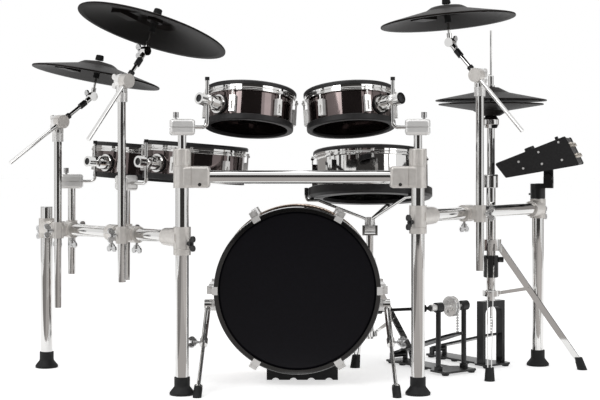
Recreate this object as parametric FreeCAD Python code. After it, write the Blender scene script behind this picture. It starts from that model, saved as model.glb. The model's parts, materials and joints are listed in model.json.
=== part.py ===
import FreeCAD, Part
import math
import os

# Electronic drum kit: pads and cymbals on a four-legged tube rack, with bass drum, snare, hi-hat and
# a double pedal. Millimetres. X runs to the audience's right, Y from the audience to the player, Z up.
# The kit is laid out from the middle of the front legs at floor level, and moved at the end so that
# its origin is the bottom centre of its box.

V = FreeCAD.Vector
UP = V(0, 0, 1)
RIGHT = V(1, 0, 0)
BACK = V(0, 1, 0)
SIDES = (-1, 1)

# Clearances
FIT = 0.08                   # running and push fits, on the radius
GAP = 0.3                    # room between faces that move past each other

# Rack tubes and poles
TUBE_R = 19.0
TUBE_WALL = 1.6
POLE_R = 12.0
POLE_WALL = 1.5
FRONT_HALF = 336.0           # half the distance between the front legs
FRONT_BAR_Z = 620.0
FRONT_LEG_TOP = 698.0
LEFT_REAR_X = -813.0
LEFT_REAR_Y = 505.0
LEFT_BAR_Z = 447.0
LEFT_LEG_TOP = 512.0
RIGHT_REAR_X = 770.0
RIGHT_REAR_Y = 545.0
RIGHT_BAR_Z = 508.0
RIGHT_LEG_TOP = 566.0
BAR_SETBACK = 27.0           # from a leg's axis to the end of the bar

# Rack clamps
CLAMP_WALL = 6.0
CLAMP_H = 62.0
CORNER_REACH = 80.0
CORNER_DEPTH = 50.0
HUB_REACH = 76.0
REAR_REACH = 46.0
SOCKET_FLARE = 4.0
RING_L = 42.0
SLEEVE_H = 50.0
POLE_OFFSET = 46.0           # from a bar's axis to the axis of a pole clamped to it
WEB_W = 30.0
WEB_H = 34.0
FLUTED_H = 50.0
FLUTE_COUNT = 14
FLUTE_R = 2.6
COLLAR_H = 18.0

# Rubber feet
FOOT_R = 36.0
FOOT_NECK = 3.5              # rubber around the tube
FOOT_H = 51.0
FOOT_FLOOR = 12.0            # rubber under the tube
FOOT_FLARE_Z = 24.0
FOOT_LIP = 7.0

# Wing bolts
BOLT_R = 4.0
BOLT_HUB_R = 7.0
BOLT_HUB_L = 12.0
BOLT_STEM = 7.0
LOBE_R = 9.0
LOBE_REACH = 13.0
LOBE_T = 6.0

# Places of the poles and posts along the side bars, from the front leg's axis
RIDE_ALONG = 226.0
TOM4_ALONG = 329.0
CRASH_LEFT_ALONG = 561.0
TOM3_ALONG = 621.0
CRASH_RIGHT_ALONG = 262.0

# Cymbal stands: pole ends, boom pivots, cymbal tilter points and cymbal tilts
BOOM_R = 6.0
BOOM_OFFSET = 20.0           # from the pole's axis to the boom's axis
COLLAR_WALL = 3.5            # black collars on the boom
COLLAR_L = 9.0
SLEEVE_L = 24.0
COLLAR_SPACE = 5.0
TILTER_R = 21.0
TILTER_FACE = 7.0            # the joint face of the two tilter discs
TILTER_BACK = 9.0
TILTER_OUT = 33.0
PIVOT_PIN_R = 5.0
PIVOT_PIN_L = 4.0
TILTER_DROP = 24.0           # pole top below the pivot
HEAD_R = 14.0
HEAD_W = 18.0
CYMBAL_ROD_R = 4.0
CYMBAL_ROD_L = 96.0          # from the cymbal tilter to the cymbal's pivot
SEAT_R = 14.0
SEAT_SLEEVE_R = 9.5
SEAT_SLEEVE_L = 36.0
CAP_R = 13.5
CAP_H = 17.0
CAP_GAP = 3.5                # room above the bell for the rocking cymbal
RIDE_FOOT_Z = 308.0
RIDE_PIVOT_Z = 900.0
RIDE_HEAD_X = -459.0
RIDE_HEAD_Y = 176.0
RIDE_HEAD_Z = 992.0
RIDE_LEAN = 16.0             # left side higher, degrees
RIDE_TILT = 10.0             # front edge higher, degrees
RIDE_TAIL = 226.0
CRASH_LEFT_FOOT_Z = 206.0
CRASH_LEFT_PIVOT_Z = 785.0
CRASH_LEFT_HEAD_X = -656.0
CRASH_LEFT_HEAD_Y = 438.0
CRASH_LEFT_HEAD_Z = 866.0
CRASH_LEFT_LEAN = 10.0
CRASH_LEFT_TILT = 3.5
CRASH_LEFT_TAIL = 222.0
CRASH_RIGHT_FOOT_Z = 338.0
CRASH_RIGHT_PIVOT_Z = 919.0
CRASH_RIGHT_HEAD_X = 450.0
CRASH_RIGHT_HEAD_Y = 214.0
CRASH_RIGHT_HEAD_Z = 1020.0
CRASH_RIGHT_LEAN = -5.0
CRASH_RIGHT_TILT = 2.2
CRASH_RIGHT_TAIL = 226.0

# Cymbal pads, measured from the pivot
RIDE_R = 228.5
CRASH_R = 203.0
BOW_DROP = 31.0              # edge below the pivot
EDGE_T = 5.0
BELL_R = 66.0
BELL_TOP = 17.0
BELL_FOOT = 1.0
PAD_T = 7.0
HUB_R = 24.0
HUB_DROP = 5.0
ROD_HOLE_R = 8.6
JACK_BOX_L = 66.0
JACK_BOX_W = 46.0
JACK_BOX_T = 20.0
JACK_BOX_AT = 112.0
JACK_R = 5.0

# Tom pads
TOM_SMALL_R = 126.0
TOM_LARGE_R = 152.0
TOM_H = 116.0
TOM_WALL = 6.0
TOM_RING_H = 18.0
TOM_RING_LIP = 5.0
TOM_RING_IN = 12.0
TOM_FLOOR = 8.0
TOM_LUGS = 6
TOM_FIRST_LUG = 22.0         # degrees from the bracket
HEAD_T = 2.0
HOOP_LIP = 8.0
HOOP_H = 17.0
RIM_H = 13.0
RIM_LIP = 9.5
RIM_IN = 5.0
LUG_W = 17.0
LUG_OUT = 13.0
LUG_SLOT = 6.0
LUG_BASE = 22.0
LUG_TOP = 70.0
ROD_R = 2.6
EAR_W = 13.0
BRIDGE_W = 34.0
BRIDGE_T = 3.0
BRIDGE_Z = 66.0
CONE_R = 24.0
CONE_TIP_R = 12.0

# Tom brackets and holders
PLATE_R = 27.5
PLATE_T = 9.0
BALL_OUT = 50.0              # ball centre from the shell
BALL_R = 13.0
SOCKET_R = 20.0
SOCKET_CONE = 46.0           # half angle left open for the rod, degrees
FLARE_R = 23.0
NOSE_R = 17.0
NOSE_BORE = 11.0
PLUG_SUNK = 3.0
GASKET_T = 3.0
GASKET_LIP = 1.5
MOUTH_H = 27.0               # height of the opening cones over the ball
NOSE_L = 34.0
BRACKET_Z = 48.0
L_ROD_R = 5.25
L_ROD_BEND = 16.0
L_ROD_ABOVE = 58.0           # rod standing above the ball
L_ROD_TIP_R = 6.5
L_ROD_TIP_H = 10.0
BLOCK_L = 71.0
BLOCK_W = 46.0
BLOCK_H = 46.0
BLOCK_ROUND = 9.0
BLOCK_SLIT = 2.5
THUMB_R = 8.0
THUMB_H = 20.0
THUMB_LIFT = 4.0
BLOCK_SLIT_DEPTH = 4.0
FRONT_BLOCK_Z = 762.0
SIDE_BLOCK_Z = 597.0
POST_FOOT_Z = 302.0
FRONT_TOM_X = 151.0
FRONT_TOM_Y = 130.0
FRONT_TOM_Z = 758.0
FRONT_TOM_TILT = 12.0
FRONT_TOM_LEAN = 3.0
TOM3_X = -526.0
TOM3_Y = 640.0
TOM3_Z = 598.0
TOM4_X = -329.0
TOM4_Y = 330.0
TOM4_Z = 600.0
SIDE_TOM_LEAN = 4.5
SIDE_TOM_TILT = 1.0
BRACKET_ANGLE = 228.7        # direction of the bracket from the tom's axis, degrees
BRACKET_MIRROR = 311.3

# Snare pad and stand
SNARE_X = 231.0
SNARE_Y = 640.0
SNARE_Z = 535.0
SNARE_R = 178.0
SNARE_H = 158.0
SNARE_TILT = 8.0
SNARE_LUGS = 8
TRAY_R = 206.0
TRAY_H = 36.0
TRAY_FLOOR = 12.0
TRAY_IN = 22.0
SNARE_PIVOT_Z = 440.0
BASKET_HUB_R = 17.0
YOKE_ROOM = 2.0
ARM_R = 5.0
ARM_DROP = 8.0
ARM_BEND = 16.0
ARM_KNEE_IN = 34.0
ARM_REST_IN = 12.0
FINGER_R = 6.0
FINGER_GAP = 1.0
STAND_TUBE_R = 13.0
SNARE_FOOT_REACH = 153.0
SNARE_FOOT_ANGLE = -111.0
LEG_W = 18.0
LEG_T = 3.0
LEG_SPREAD_TOP = 11.0        # half the space between a leg's strips
LEG_SPREAD_TOE = 5.5
RIVET_R = 3.5
STRUT_T = 7.0
STRUT_W = 11.0
SNARE_COLLAR_Z = 250.0
SNARE_LOW_COLLAR_Z = 92.0
SNARE_STRUT_AT = 0.5
SMALL_FOOT_R = 13.0
SMALL_FOOT_H = 30.0

# Bass drum
BASS_X = -8.0
BASS_FRONT_Y = 130.0
BASS_DEPTH = 300.0
BASS_R = 228.5
BASS_LIFT = 53.5             # shell above the floor
BASS_Z = BASS_R + BASS_LIFT
BASS_WALL = 7.0
BASS_HOOP_W = 13.5
BASS_HOOP_H = 40.0
BASS_COLLAR = 4.5
BASS_FILM = 2.5
BASS_RECESS = 9.0
BASS_SKIRT = 24.0
CLAW_COUNT = 6
CLAW_W = 24.0
CLAW_T = 4.5
CLAW_FOOT = 12.0
TENSION_R = 3.2
TENSION_OUT = 30.0           # tension rods outside the shell
BASS_LUG_L = 90.0
BASS_LUG_W = 20.0
KICK_PAD_R = 70.0
KICK_PAD_T = 12.0
RISER_X = 7.0
RISER_Y = 284.0
RISER_W = 216.0
RISER_L = 60.0
RISER_H = 40.0
SADDLE_W = 150.0
RISER_NOTCHES = 4
RISER_NOTCH_R = 13.0
SPUR_Y = 250.0
SPUR_DROP = 54.0             # spur pivots below the drum's axis
SPUR_Z = BASS_Z - SPUR_DROP
SPUR_BOSS_R = 18.0
SPUR_BOSS_OUT = 30.0
SPUR_HUB_T = 22.0
SPUR_PIN_R = 6.0
SPUR_TIP_Y = -48.0
SPUR_SPLAY = 12.0
SPUR_TUBE_R = 9.0
SPUR_ROD_R = 5.5
SPUR_TUBE_L = 170.0
SPUR_TIP_R = 12.5
SPUR_TIP_L = 34.0

# Pedals
PEDAL_LEAN_X = 0.6           # heel direction of the turned pedals, to the audience's left
PEDAL_LEAN_Y = 0.8
AXLE_R = 5.0
POST_R = 8.0
POST_HALF = 54.0
BEARING_R = 15.5
BEARING_L = 24.0
CAM_R = 26.0
CAM_W = 9.0
CAM_CHEEK = 4.0
CAM_CHEEK_R = 32.0
CHAIN_W = 7.0
CHAIN_T = 5.0
BASE_Z = 7.0
BASE_T = 6.0
BASE_HALF = 46.0
BASE_FRONT = 46.0
BASE_BACK = 275.0
PAD_FOOT_R = 13.0
STUD_ROWS = 4
HEEL_Y = 250.0
HEEL_Z = 28.0
HEEL_PIN_R = 4.0
HEEL_BARREL_R = 8.0
HEEL_HALF = 24.0
EAR_T = 8.0
BOARD_W = 76.0
BOARD_T = 7.0
BOARD_RISE = 92.0            # toe above the heel hinge
MAIN_BEHIND = 95.0           # main axle behind the bass drum
MAIN_Y = BASS_FRONT_Y + BASS_DEPTH + MAIN_BEHIND
MAIN_AXLE_Z = 172.0
SLAVE_OUT = 137.0            # slave pedal outside the right front leg
SLAVE_X = FRONT_HALF + SLAVE_OUT
SLAVE_Y = 392.0
SLAVE_AXLE_Z = 208.0
BEATER_ROD_R = 4.0
BEATER_L = 158.0
BEATER_REST = 20.0           # lean away from the drum at rest, degrees
BEATER_R = 22.0
BEATER_HEAD_L = 40.0
BEATER_HUB_R = 13.0
BEATER_HUB_L = 20.0
BEATER_X = 30.0
SHAFT_R = 8.0
YOKE_R = 11.0
YOKE_L = 16.0
JOINT_BALL_R = 8.0

# Hi-hat
HIHAT_OUT = 279.0            # hi-hat outside the right front leg
HIHAT_X = FRONT_HALF + HIHAT_OUT
HIHAT_Y = 522.0
HIHAT_TOP_R = 178.0
HIHAT_BOTTOM_R = 168.0
HIHAT_EDGE_Z = 846.0         # upper face of the bottom pad's edge
HIHAT_OPEN = 8.0
HIHAT_BOW = 22.0
HIHAT_BELL_R = 58.0
HIHAT_BELL_H = 17.0
HIHAT_T = 6.0
HIHAT_ROD_R = 3.2
HIHAT_ROD_TOP = 1082.0
CLUTCH_R = 9.0
CLUTCH_H = 38.0
SEAT_UNIT_R = 26.0
SEAT_UNIT_H = 40.0
HIHAT_TUBE_R = 12.7
HIHAT_LOW_TUBE_R = 15.0
HIHAT_TUBE_WALL = 2.0
HIHAT_CLAMP_Z = 575.0
HIHAT_CLAMP_H = 44.0
SPRING_R = 24.0
SPRING_Z = 287.0
SPRING_H = 71.0
HIHAT_COLLAR_Z = 392.0
HIHAT_LOW_COLLAR_Z = 236.0
HIHAT_FOOT_REACH = 289.0
HIHAT_FOOT_1 = -98.5
HIHAT_FOOT_2 = -13.5
HIHAT_STRUT_AT = 0.38
FRAME_HALF = 37.0
FRAME_T = 12.0
FRAME_D = 28.0
FRAME_TOP_Z = 212.0
HIHAT_BOARD_RISE = 70.0
HIHAT_CHAIN_Y = -6.0

# Sound module
MODULE_X = 613.0             # lower front edge at the audience's end
MODULE_Y = 400.0
MODULE_Z = 654.0
MODULE_YAW = 14.0
MODULE_W = 330.0
MODULE_TOP_L = 228.0         # sloping panel
MODULE_SLOPE = 21.6
MODULE_FRONT_IN = 32.0
MODULE_FRONT_H = 42.0
MODULE_BACK_OUT = 44.0
MODULE_BACK_H = 85.0
MODULE_ROUND = 5.0
CHEEK_T = 4.0
CASE_WALL = 4.0
CHEEK_LIP = 2.5
SCREW_R = 3.5
SCREW_T = 1.5
MODULE_JACKS = 10
MODULE_JACK_R = 6.5
MODULE_JACK_BORE = 3.2
MODULE_JACK_L = 9.0
DIAL_R = 17.0
DIAL_H = 13.0
DIAL_ALONG = 108.0
KNOB_R = 6.0
KNOB_H = 11.0
KNOB_ALONG = 202.0
KNOB_IN = 46.0
SCREEN_L = 62.0
SCREEN_W = 108.0
SCREEN_T = 2.0
MOUNT_R = 24.0
MOUNT_SKIRT = 26.0
MOUNT_TOP_Z = 588.0
TILT_Z = 608.0
TILT_ALONG = 152.0
TILT_ACROSS = 172.0
TILT_R = 15.0
TILT_PIN_R = 5.0
TILT_EAR_T = 8.0
TILT_LUG_HALF = 12.0


def unit(vector):
    """The vector at length 1."""
    return vector * (1.0 / vector.Length)


def polar(radius, degrees, z=0.0):
    """Point at a radius and an angle from +X."""
    return V(radius * math.cos(math.radians(degrees)), radius * math.sin(math.radians(degrees)), z)


def frame_at(origin, z_axis=UP, x_hint=RIGHT):
    """Placement at origin with local z along z_axis and local x leaning to x_hint."""
    z = unit(z_axis)
    y = unit(z.cross(x_hint))
    x = y.cross(z)
    rows = FreeCAD.Matrix(x.x, y.x, z.x, origin.x, x.y, y.y, z.y, origin.y, x.z, y.z, z.z, origin.z,
                          0, 0, 0, 1)
    return FreeCAD.Placement(rows)


def placed(shape, placement):
    """Copy of a shape moved by a placement."""
    copy = shape.copy()
    copy.Placement = placement.multiply(copy.Placement)
    return copy


def all_placed(shapes, placement):
    """Copies of several shapes moved by one placement."""
    return [placed(shape, placement) for shape in shapes]


def outline(corners, flat=False):
    """Face through (u, v) corners in XZ, or in XY if flat; a third number rounds a corner."""
    def point(corner):
        if flat:
            return V(corner[0], corner[1], 0)
        return V(corner[0], 0, corner[1])

    bends = []
    for index, corner in enumerate(corners):
        here = point(corner)
        if len(corner) < 3:
            bends.append((here, None, here))
            continue
        back = unit(point(corners[index - 1]) - here)
        ahead = unit(point(corners[(index + 1) % len(corners)]) - here)
        half = back.getAngle(ahead) / 2
        reach = corner[2] / math.tan(half)
        middle = here + unit(back + ahead) * (corner[2] / math.sin(half) - corner[2])
        bends.append((here + back * reach, middle, here + ahead * reach))
    edges = []
    for index, (start, middle, end) in enumerate(bends):
        if middle:
            edges.append(Part.Arc(start, middle, end).toShape())
        following = bends[(index + 1) % len(bends)][0]
        if (following - end).Length > 1e-6:
            edges.append(Part.LineSegment(end, following).toShape())
    return Part.Face(Part.Wire(edges))


def turned(corners):
    """Solid of revolution about Z from (radius, z) corners."""
    return outline(corners).revolve(V(), UP, 360)


def slab(corners, height):
    """Plate of an XY outline, rising from Z 0."""
    return outline(corners, True).extrude(V(0, 0, height))


def rod(start, end, radius):
    """Round bar between two points."""
    return Part.makeCylinder(radius, (end - start).Length, start, end - start)


def pipe(start, end, radius, wall):
    """Open tube between two points."""
    return rod(start, end, radius).cut(rod(start, end, radius - wall))


def box(x0, x1, y0, y1, z0, z1):
    """Upright box between two corners."""
    return Part.makeBox(x1 - x0, y1 - y0, z1 - z0, V(x0, y0, z0))


def soft_box(x0, x1, y0, y1, z0, z1, radius):
    """Box with all its edges rounded."""
    block = box(x0, x1, y0, y1, z0, z1)
    return block.makeFillet(radius, block.Edges)


def joined(shapes):
    """One solid from shapes that overlap."""
    return shapes[0].multiFuse(shapes[1:]).removeSplitter()


def bar_between(start, end, width, thickness, across):
    """Flat bar with its width along across."""
    length = (end - start).Length
    corners = [(-width / 2, -thickness / 2), (width / 2, -thickness / 2),
               (width / 2, thickness / 2), (-width / 2, thickness / 2)]
    return placed(slab(corners, length), frame_at(start, end - start, across))


def wing_bolt(at, direction, across=UP):
    """Wing bolt standing on a face at a point."""
    hub_top = BOLT_STEM + BOLT_HUB_L
    lobe_z = hub_top + LOBE_R / 2
    parts = [rod(V(), V(0, 0, BOLT_STEM + 1), BOLT_R),
             rod(V(0, 0, BOLT_STEM), V(0, 0, hub_top), BOLT_HUB_R),
             box(-LOBE_REACH, LOBE_REACH, -LOBE_T / 2, LOBE_T / 2, hub_top - LOBE_R, lobe_z)]
    for side in SIDES:
        parts.append(rod(V(side * LOBE_REACH, -LOBE_T / 2, lobe_z),
                         V(side * LOBE_REACH, LOBE_T / 2, lobe_z), LOBE_R))
    return placed(joined(parts), frame_at(at, direction, across))


# Rack

def rack_foot(x, y):
    """Bell-shaped rubber foot for a rack tube."""
    neck = TUBE_R + FOOT_NECK
    bore = TUBE_R + FIT
    body = turned([(0, 0), (FOOT_R, 0, 1.5), (FOOT_R, FOOT_LIP, 3), (neck, FOOT_FLARE_Z, 9),
                   (neck, FOOT_H, 1.5), (bore, FOOT_H), (bore, FOOT_FLOOR), (0, FOOT_FLOOR)])
    return placed(body, frame_at(V(x, y, 0)))


def rack_leg(x, y, top):
    """Leg tube standing in its foot."""
    return pipe(V(x, y, FOOT_FLOOR), V(x, y, top), TUBE_R, TUBE_WALL)


def corner_clamp(side):
    """Die-cast clamp between a front leg and the front bar, with its bolts."""
    half_h = CLAMP_H / 2
    depth = CORNER_DEPTH / 2
    sleeve = rod(V(0, 0, -half_h), V(0, 0, half_h), TUBE_R + CLAMP_WALL)
    block = soft_box(0, CORNER_REACH, -depth, depth, -half_h, half_h, BLOCK_ROUND)
    body = joined([sleeve, block])
    body = body.cut(rod(V(0, 0, -CLAMP_H), V(0, 0, CLAMP_H), TUBE_R + FIT))
    body = body.cut(rod(V(BAR_SETBACK, 0, 0), V(CORNER_REACH + 1, 0, 0), TUBE_R + FIT))
    seam = TUBE_R + CLAMP_WALL + 2
    for face in SIDES:
        body = body.cut(box(seam, seam + 2, face * depth - 2, face * depth + 2, -half_h - 1, half_h + 1))
    bolts = []
    face = V(CORNER_REACH / 2 + 12, -depth, -half_h + 10)
    bolts.append(rod(face, face + V(0, -BOLT_R, 0), BOLT_R + 1))
    placement = frame_at(V(side * FRONT_HALF, 0, FRONT_BAR_Z), UP, V(-side, 0, 0))
    if side > 0:
        bolts = [shape.mirror(V(), BACK) for shape in bolts]
    return all_placed([body] + bolts, placement)


def fluted_sleeve(side):
    """Fluted sleeve on the top of a front leg, holding the tom post."""
    bottom = FRONT_BAR_Z + CLAMP_H / 2
    top = bottom + FLUTED_H
    outer = TUBE_R + CLAMP_WALL
    bore = TUBE_R + FIT
    body = turned([(bore, bottom), (outer, bottom, 2), (outer, top, 3), (POLE_R + FIT, top),
                   (POLE_R + FIT, FRONT_LEG_TOP), (bore, FRONT_LEG_TOP)])
    for index in range(FLUTE_COUNT):
        groove = polar(outer + FLUTE_R / 3, 360.0 * index / FLUTE_COUNT, bottom + FLUTE_R * 2)
        body = body.cut(rod(groove, groove + V(0, 0, FLUTED_H - FLUTE_R * 4), FLUTE_R))
    return placed(body, frame_at(V(side * FRONT_HALF, 0, 0)))


def leg_collar(side, hub_z):
    """Memory ring under a side bar's hub."""
    top = hub_z - CLAMP_H / 2 - GAP
    outer = TUBE_R + CLAMP_WALL
    bore = TUBE_R + FIT
    ring = turned([(bore, top - COLLAR_H), (outer, top - COLLAR_H, 2), (outer, top, 2), (bore, top)])
    return placed(ring, frame_at(V(side * FRONT_HALF, 0, 0)))


def end_clamp(point, direction, reach):
    """Clamp between a leg and the end of a side bar."""
    half_h = CLAMP_H / 2
    outer = TUBE_R + CLAMP_WALL
    sleeve = rod(V(0, 0, -half_h), V(0, 0, half_h), outer)
    socket = Part.makeCone(outer + SOCKET_FLARE, outer, reach, V(), RIGHT)
    body = joined([sleeve, socket])
    body = body.cut(rod(V(0, 0, -CLAMP_H), V(0, 0, CLAMP_H), TUBE_R + FIT))
    body = body.cut(rod(V(BAR_SETBACK, 0, 0), V(reach + 1, 0, 0), TUBE_R + FIT))
    handle = wing_bolt(V(-outer, 0, -half_h / 2), V(-1, 0, 0))
    return all_placed([body, handle.cut(body)], frame_at(point, UP, direction))


def pole_clamp(point, side_dir):
    """Double clamp from a side bar to an upright pole beside it."""
    ring_r = TUBE_R + CLAMP_WALL
    sleeve_r = POLE_R + CLAMP_WALL
    body = joined([rod(V(0, -RING_L / 2, 0), V(0, RING_L / 2, 0), ring_r),
                   rod(V(POLE_OFFSET, 0, -SLEEVE_H / 2), V(POLE_OFFSET, 0, SLEEVE_H / 2), sleeve_r),
                   box(0, POLE_OFFSET, -WEB_W / 2, WEB_W / 2, -WEB_H / 2, WEB_H / 2)])
    body = body.cut(rod(V(0, -RING_L, 0), V(0, RING_L, 0), TUBE_R + FIT))
    body = body.cut(rod(V(POLE_OFFSET, 0, -SLEEVE_H), V(POLE_OFFSET, 0, SLEEVE_H), POLE_R + FIT))
    bolt_in = ring_r / 3
    body = body.cut(box(-ring_r - 1, -TUBE_R + 1, -RING_L, RING_L, -BLOCK_SLIT / 2, BLOCK_SLIT / 2))
    bolts = [wing_bolt(V(POLE_OFFSET + sleeve_r - 0.5, 0, 0), RIGHT),
             wing_bolt(V(-bolt_in, 0, -ring_r + 0.5), V(0, 0, -1), BACK)]
    bolts = [bolt.cut(body) for bolt in bolts]
    return all_placed([body] + bolts, frame_at(point, UP, side_dir))


def flat(x, y, z=0.0):
    """Point on the floor plan, at the floor unless a height is given."""
    return V(x, y, z)


LEFT_FRONT = flat(-FRONT_HALF, 0)
RIGHT_FRONT = flat(FRONT_HALF, 0)
LEFT_REAR = flat(LEFT_REAR_X, LEFT_REAR_Y)
RIGHT_REAR = flat(RIGHT_REAR_X, RIGHT_REAR_Y)
LEFT_DIR = unit(LEFT_REAR - LEFT_FRONT)
RIGHT_DIR = unit(RIGHT_REAR - RIGHT_FRONT)
LEFT_OUT = V(-LEFT_DIR.y, LEFT_DIR.x, 0)
RIGHT_OUT = V(RIGHT_DIR.y, -RIGHT_DIR.x, 0)


def on_bar(front, direction, along, out, offset, z):
    """Point beside a side bar."""
    return front + direction * along + out * offset + V(0, 0, z)


def left_place(along, offset, z=0.0):
    """Point beside the left bar; positive offsets are outside the rack."""
    return on_bar(LEFT_FRONT, LEFT_DIR, along, LEFT_OUT, offset, z)


def right_place(along, offset, z=0.0):
    """Point beside the right bar; positive offsets are outside the rack."""
    return on_bar(RIGHT_FRONT, RIGHT_DIR, along, RIGHT_OUT, offset, z)


def wing_tubes(front, rear, direction, bar_z, top):
    """Side bar and rear leg."""
    lift = V(0, 0, bar_z)
    side_bar = pipe(front + direction * BAR_SETBACK + lift, rear - direction * BAR_SETBACK + lift,
                    TUBE_R, TUBE_WALL)
    return [side_bar, rack_leg(rear.x, rear.y, top)]


def leg_cap(point, top):
    """Plug cap closing the top of a leg."""
    inner = TUBE_R - TUBE_WALL - FIT
    body = turned([(0, top - FOOT_FLOOR), (inner, top - FOOT_FLOOR), (inner, top), (TUBE_R, top),
                   (TUBE_R, top + FOOT_NECK, 2), (0, top + FOOT_NECK)])
    return placed(body, frame_at(V(point.x, point.y, 0)))


def rack_nodes():
    """Tubes, feet and clamps of the rack."""
    lift = V(0, 0, FRONT_BAR_Z)
    reach = V(FRONT_HALF - BAR_SETBACK, 0, 0)
    nodes = {
        "front_tubes": [rack_leg(side * FRONT_HALF, 0, FRONT_LEG_TOP) for side in SIDES]
                       + [pipe(lift - reach, lift + reach, TUBE_R, TUBE_WALL)],
        "rubber_feet": [rack_foot(side * FRONT_HALF, 0) for side in SIDES],
        "front_clamps": [leg_collar(-1, LEFT_BAR_Z), leg_collar(1, RIGHT_BAR_Z)],
        "left_wing_tubes": wing_tubes(LEFT_FRONT, LEFT_REAR, LEFT_DIR, LEFT_BAR_Z, LEFT_LEG_TOP),
        "left_rear_foot": [rack_foot(LEFT_REAR_X, LEFT_REAR_Y)],
        "right_wing_tubes": wing_tubes(RIGHT_FRONT, RIGHT_REAR, RIGHT_DIR, RIGHT_BAR_Z, RIGHT_LEG_TOP),
        "right_rear_foot": [rack_foot(RIGHT_REAR_X, RIGHT_REAR_Y)],
    }
    for side in SIDES:
        nodes["front_clamps"] += corner_clamp(side) + [fluted_sleeve(side)]
    left_lift = V(0, 0, LEFT_BAR_Z)
    nodes["left_clamps"] = (
        end_clamp(LEFT_FRONT + left_lift, LEFT_DIR, HUB_REACH)
        + end_clamp(LEFT_REAR + left_lift, LEFT_DIR * -1, REAR_REACH)
        + pole_clamp(left_place(RIDE_ALONG, 0, LEFT_BAR_Z), LEFT_OUT)
        + pole_clamp(left_place(TOM4_ALONG, 0, LEFT_BAR_Z), LEFT_OUT * -1)
        + pole_clamp(left_place(CRASH_LEFT_ALONG, 0, LEFT_BAR_Z), LEFT_OUT)
        + pole_clamp(left_place(TOM3_ALONG, 0, LEFT_BAR_Z), LEFT_OUT * -1)
        + [leg_cap(LEFT_REAR, LEFT_LEG_TOP)])
    right_lift = V(0, 0, RIGHT_BAR_Z)
    nodes["right_clamps"] = (
        end_clamp(RIGHT_FRONT + right_lift, RIGHT_DIR, HUB_REACH)
        + end_clamp(RIGHT_REAR + right_lift, RIGHT_DIR * -1, REAR_REACH)
        + pole_clamp(right_place(CRASH_RIGHT_ALONG, 0, RIGHT_BAR_Z), RIGHT_OUT))
    return nodes


# Cymbal stands

def tilt_normal(lean, tilt):
    """Upright axis leaned to +X and tilted to +Y, in degrees."""
    return unit(V(math.tan(math.radians(lean)), math.tan(math.radians(tilt)), 1))


class CymbalStand:
    """Where a cymbal stand's pivots and axes are."""

    def __init__(self, name, pole, foot_z, pivot_z, head, lean, tilt, tail, radius):
        self.name = name
        self.foot = V(pole.x, pole.y, foot_z)
        self.pivot = V(pole.x, pole.y, pivot_z)
        self.head = head
        self.normal = tilt_normal(lean, tilt)
        self.tail = tail
        self.radius = radius
        across = V(head.x - pole.x, head.y - pole.y, 0)
        turn = math.acos(BOOM_OFFSET / across.Length)
        angle = math.atan2(across.y, across.x)
        choices = [V(math.cos(angle + way * turn), math.sin(angle + way * turn), 0) for way in SIDES]
        self.axis = min(choices, key=lambda choice: choice.y)
        self.anchor = self.pivot + self.axis * BOOM_OFFSET
        self.boom = unit(head - self.anchor)
        self.rock = head + self.normal * CYMBAL_ROD_L


STANDS = [
    CymbalStand("ride", left_place(RIDE_ALONG, POLE_OFFSET), RIDE_FOOT_Z, RIDE_PIVOT_Z,
                V(RIDE_HEAD_X, RIDE_HEAD_Y, RIDE_HEAD_Z), RIDE_LEAN, RIDE_TILT, RIDE_TAIL, RIDE_R),
    CymbalStand("crash_left", left_place(CRASH_LEFT_ALONG, POLE_OFFSET), CRASH_LEFT_FOOT_Z,
                CRASH_LEFT_PIVOT_Z, V(CRASH_LEFT_HEAD_X, CRASH_LEFT_HEAD_Y, CRASH_LEFT_HEAD_Z),
                CRASH_LEFT_LEAN, CRASH_LEFT_TILT, CRASH_LEFT_TAIL, CRASH_R),
    CymbalStand("crash_right", right_place(CRASH_RIGHT_ALONG, POLE_OFFSET), CRASH_RIGHT_FOOT_Z,
                CRASH_RIGHT_PIVOT_Z, V(CRASH_RIGHT_HEAD_X, CRASH_RIGHT_HEAD_Y, CRASH_RIGHT_HEAD_Z),
                CRASH_RIGHT_LEAN, CRASH_RIGHT_TILT, CRASH_RIGHT_TAIL, CRASH_R),
]


def stand_pole(stand):
    """Pole with the fixed half of the boom tilter."""
    top = V(stand.pivot.x, stand.pivot.y, stand.pivot.z - TILTER_DROP)
    pole = pipe(stand.foot, top, POLE_R, POLE_WALL)
    collar_r = POLE_R + CLAMP_WALL - 1
    skirt = top - V(0, 0, TILTER_DROP + HEAD_R)
    disc = rod(stand.pivot - stand.axis * TILTER_BACK, stand.pivot + stand.axis * TILTER_FACE, TILTER_R)
    pin = rod(stand.pivot, stand.pivot + stand.axis * (TILTER_FACE + PIVOT_PIN_L), PIVOT_PIN_R)
    tilter = joined([rod(skirt, top + V(0, 0, HEAD_R), collar_r), disc, pin])
    tilter = tilter.cut(rod(skirt, top, POLE_R + FIT))
    tilter = tilter.cut(rod(stand.pivot + stand.axis * TILTER_FACE,
                            stand.pivot + stand.axis * TILTER_OUT, TILTER_R + HEAD_R)
                        .cut(pin))
    nut = wing_bolt(stand.pivot - stand.axis * TILTER_BACK, stand.axis * -1)
    return [pole, tilter, nut]


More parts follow.
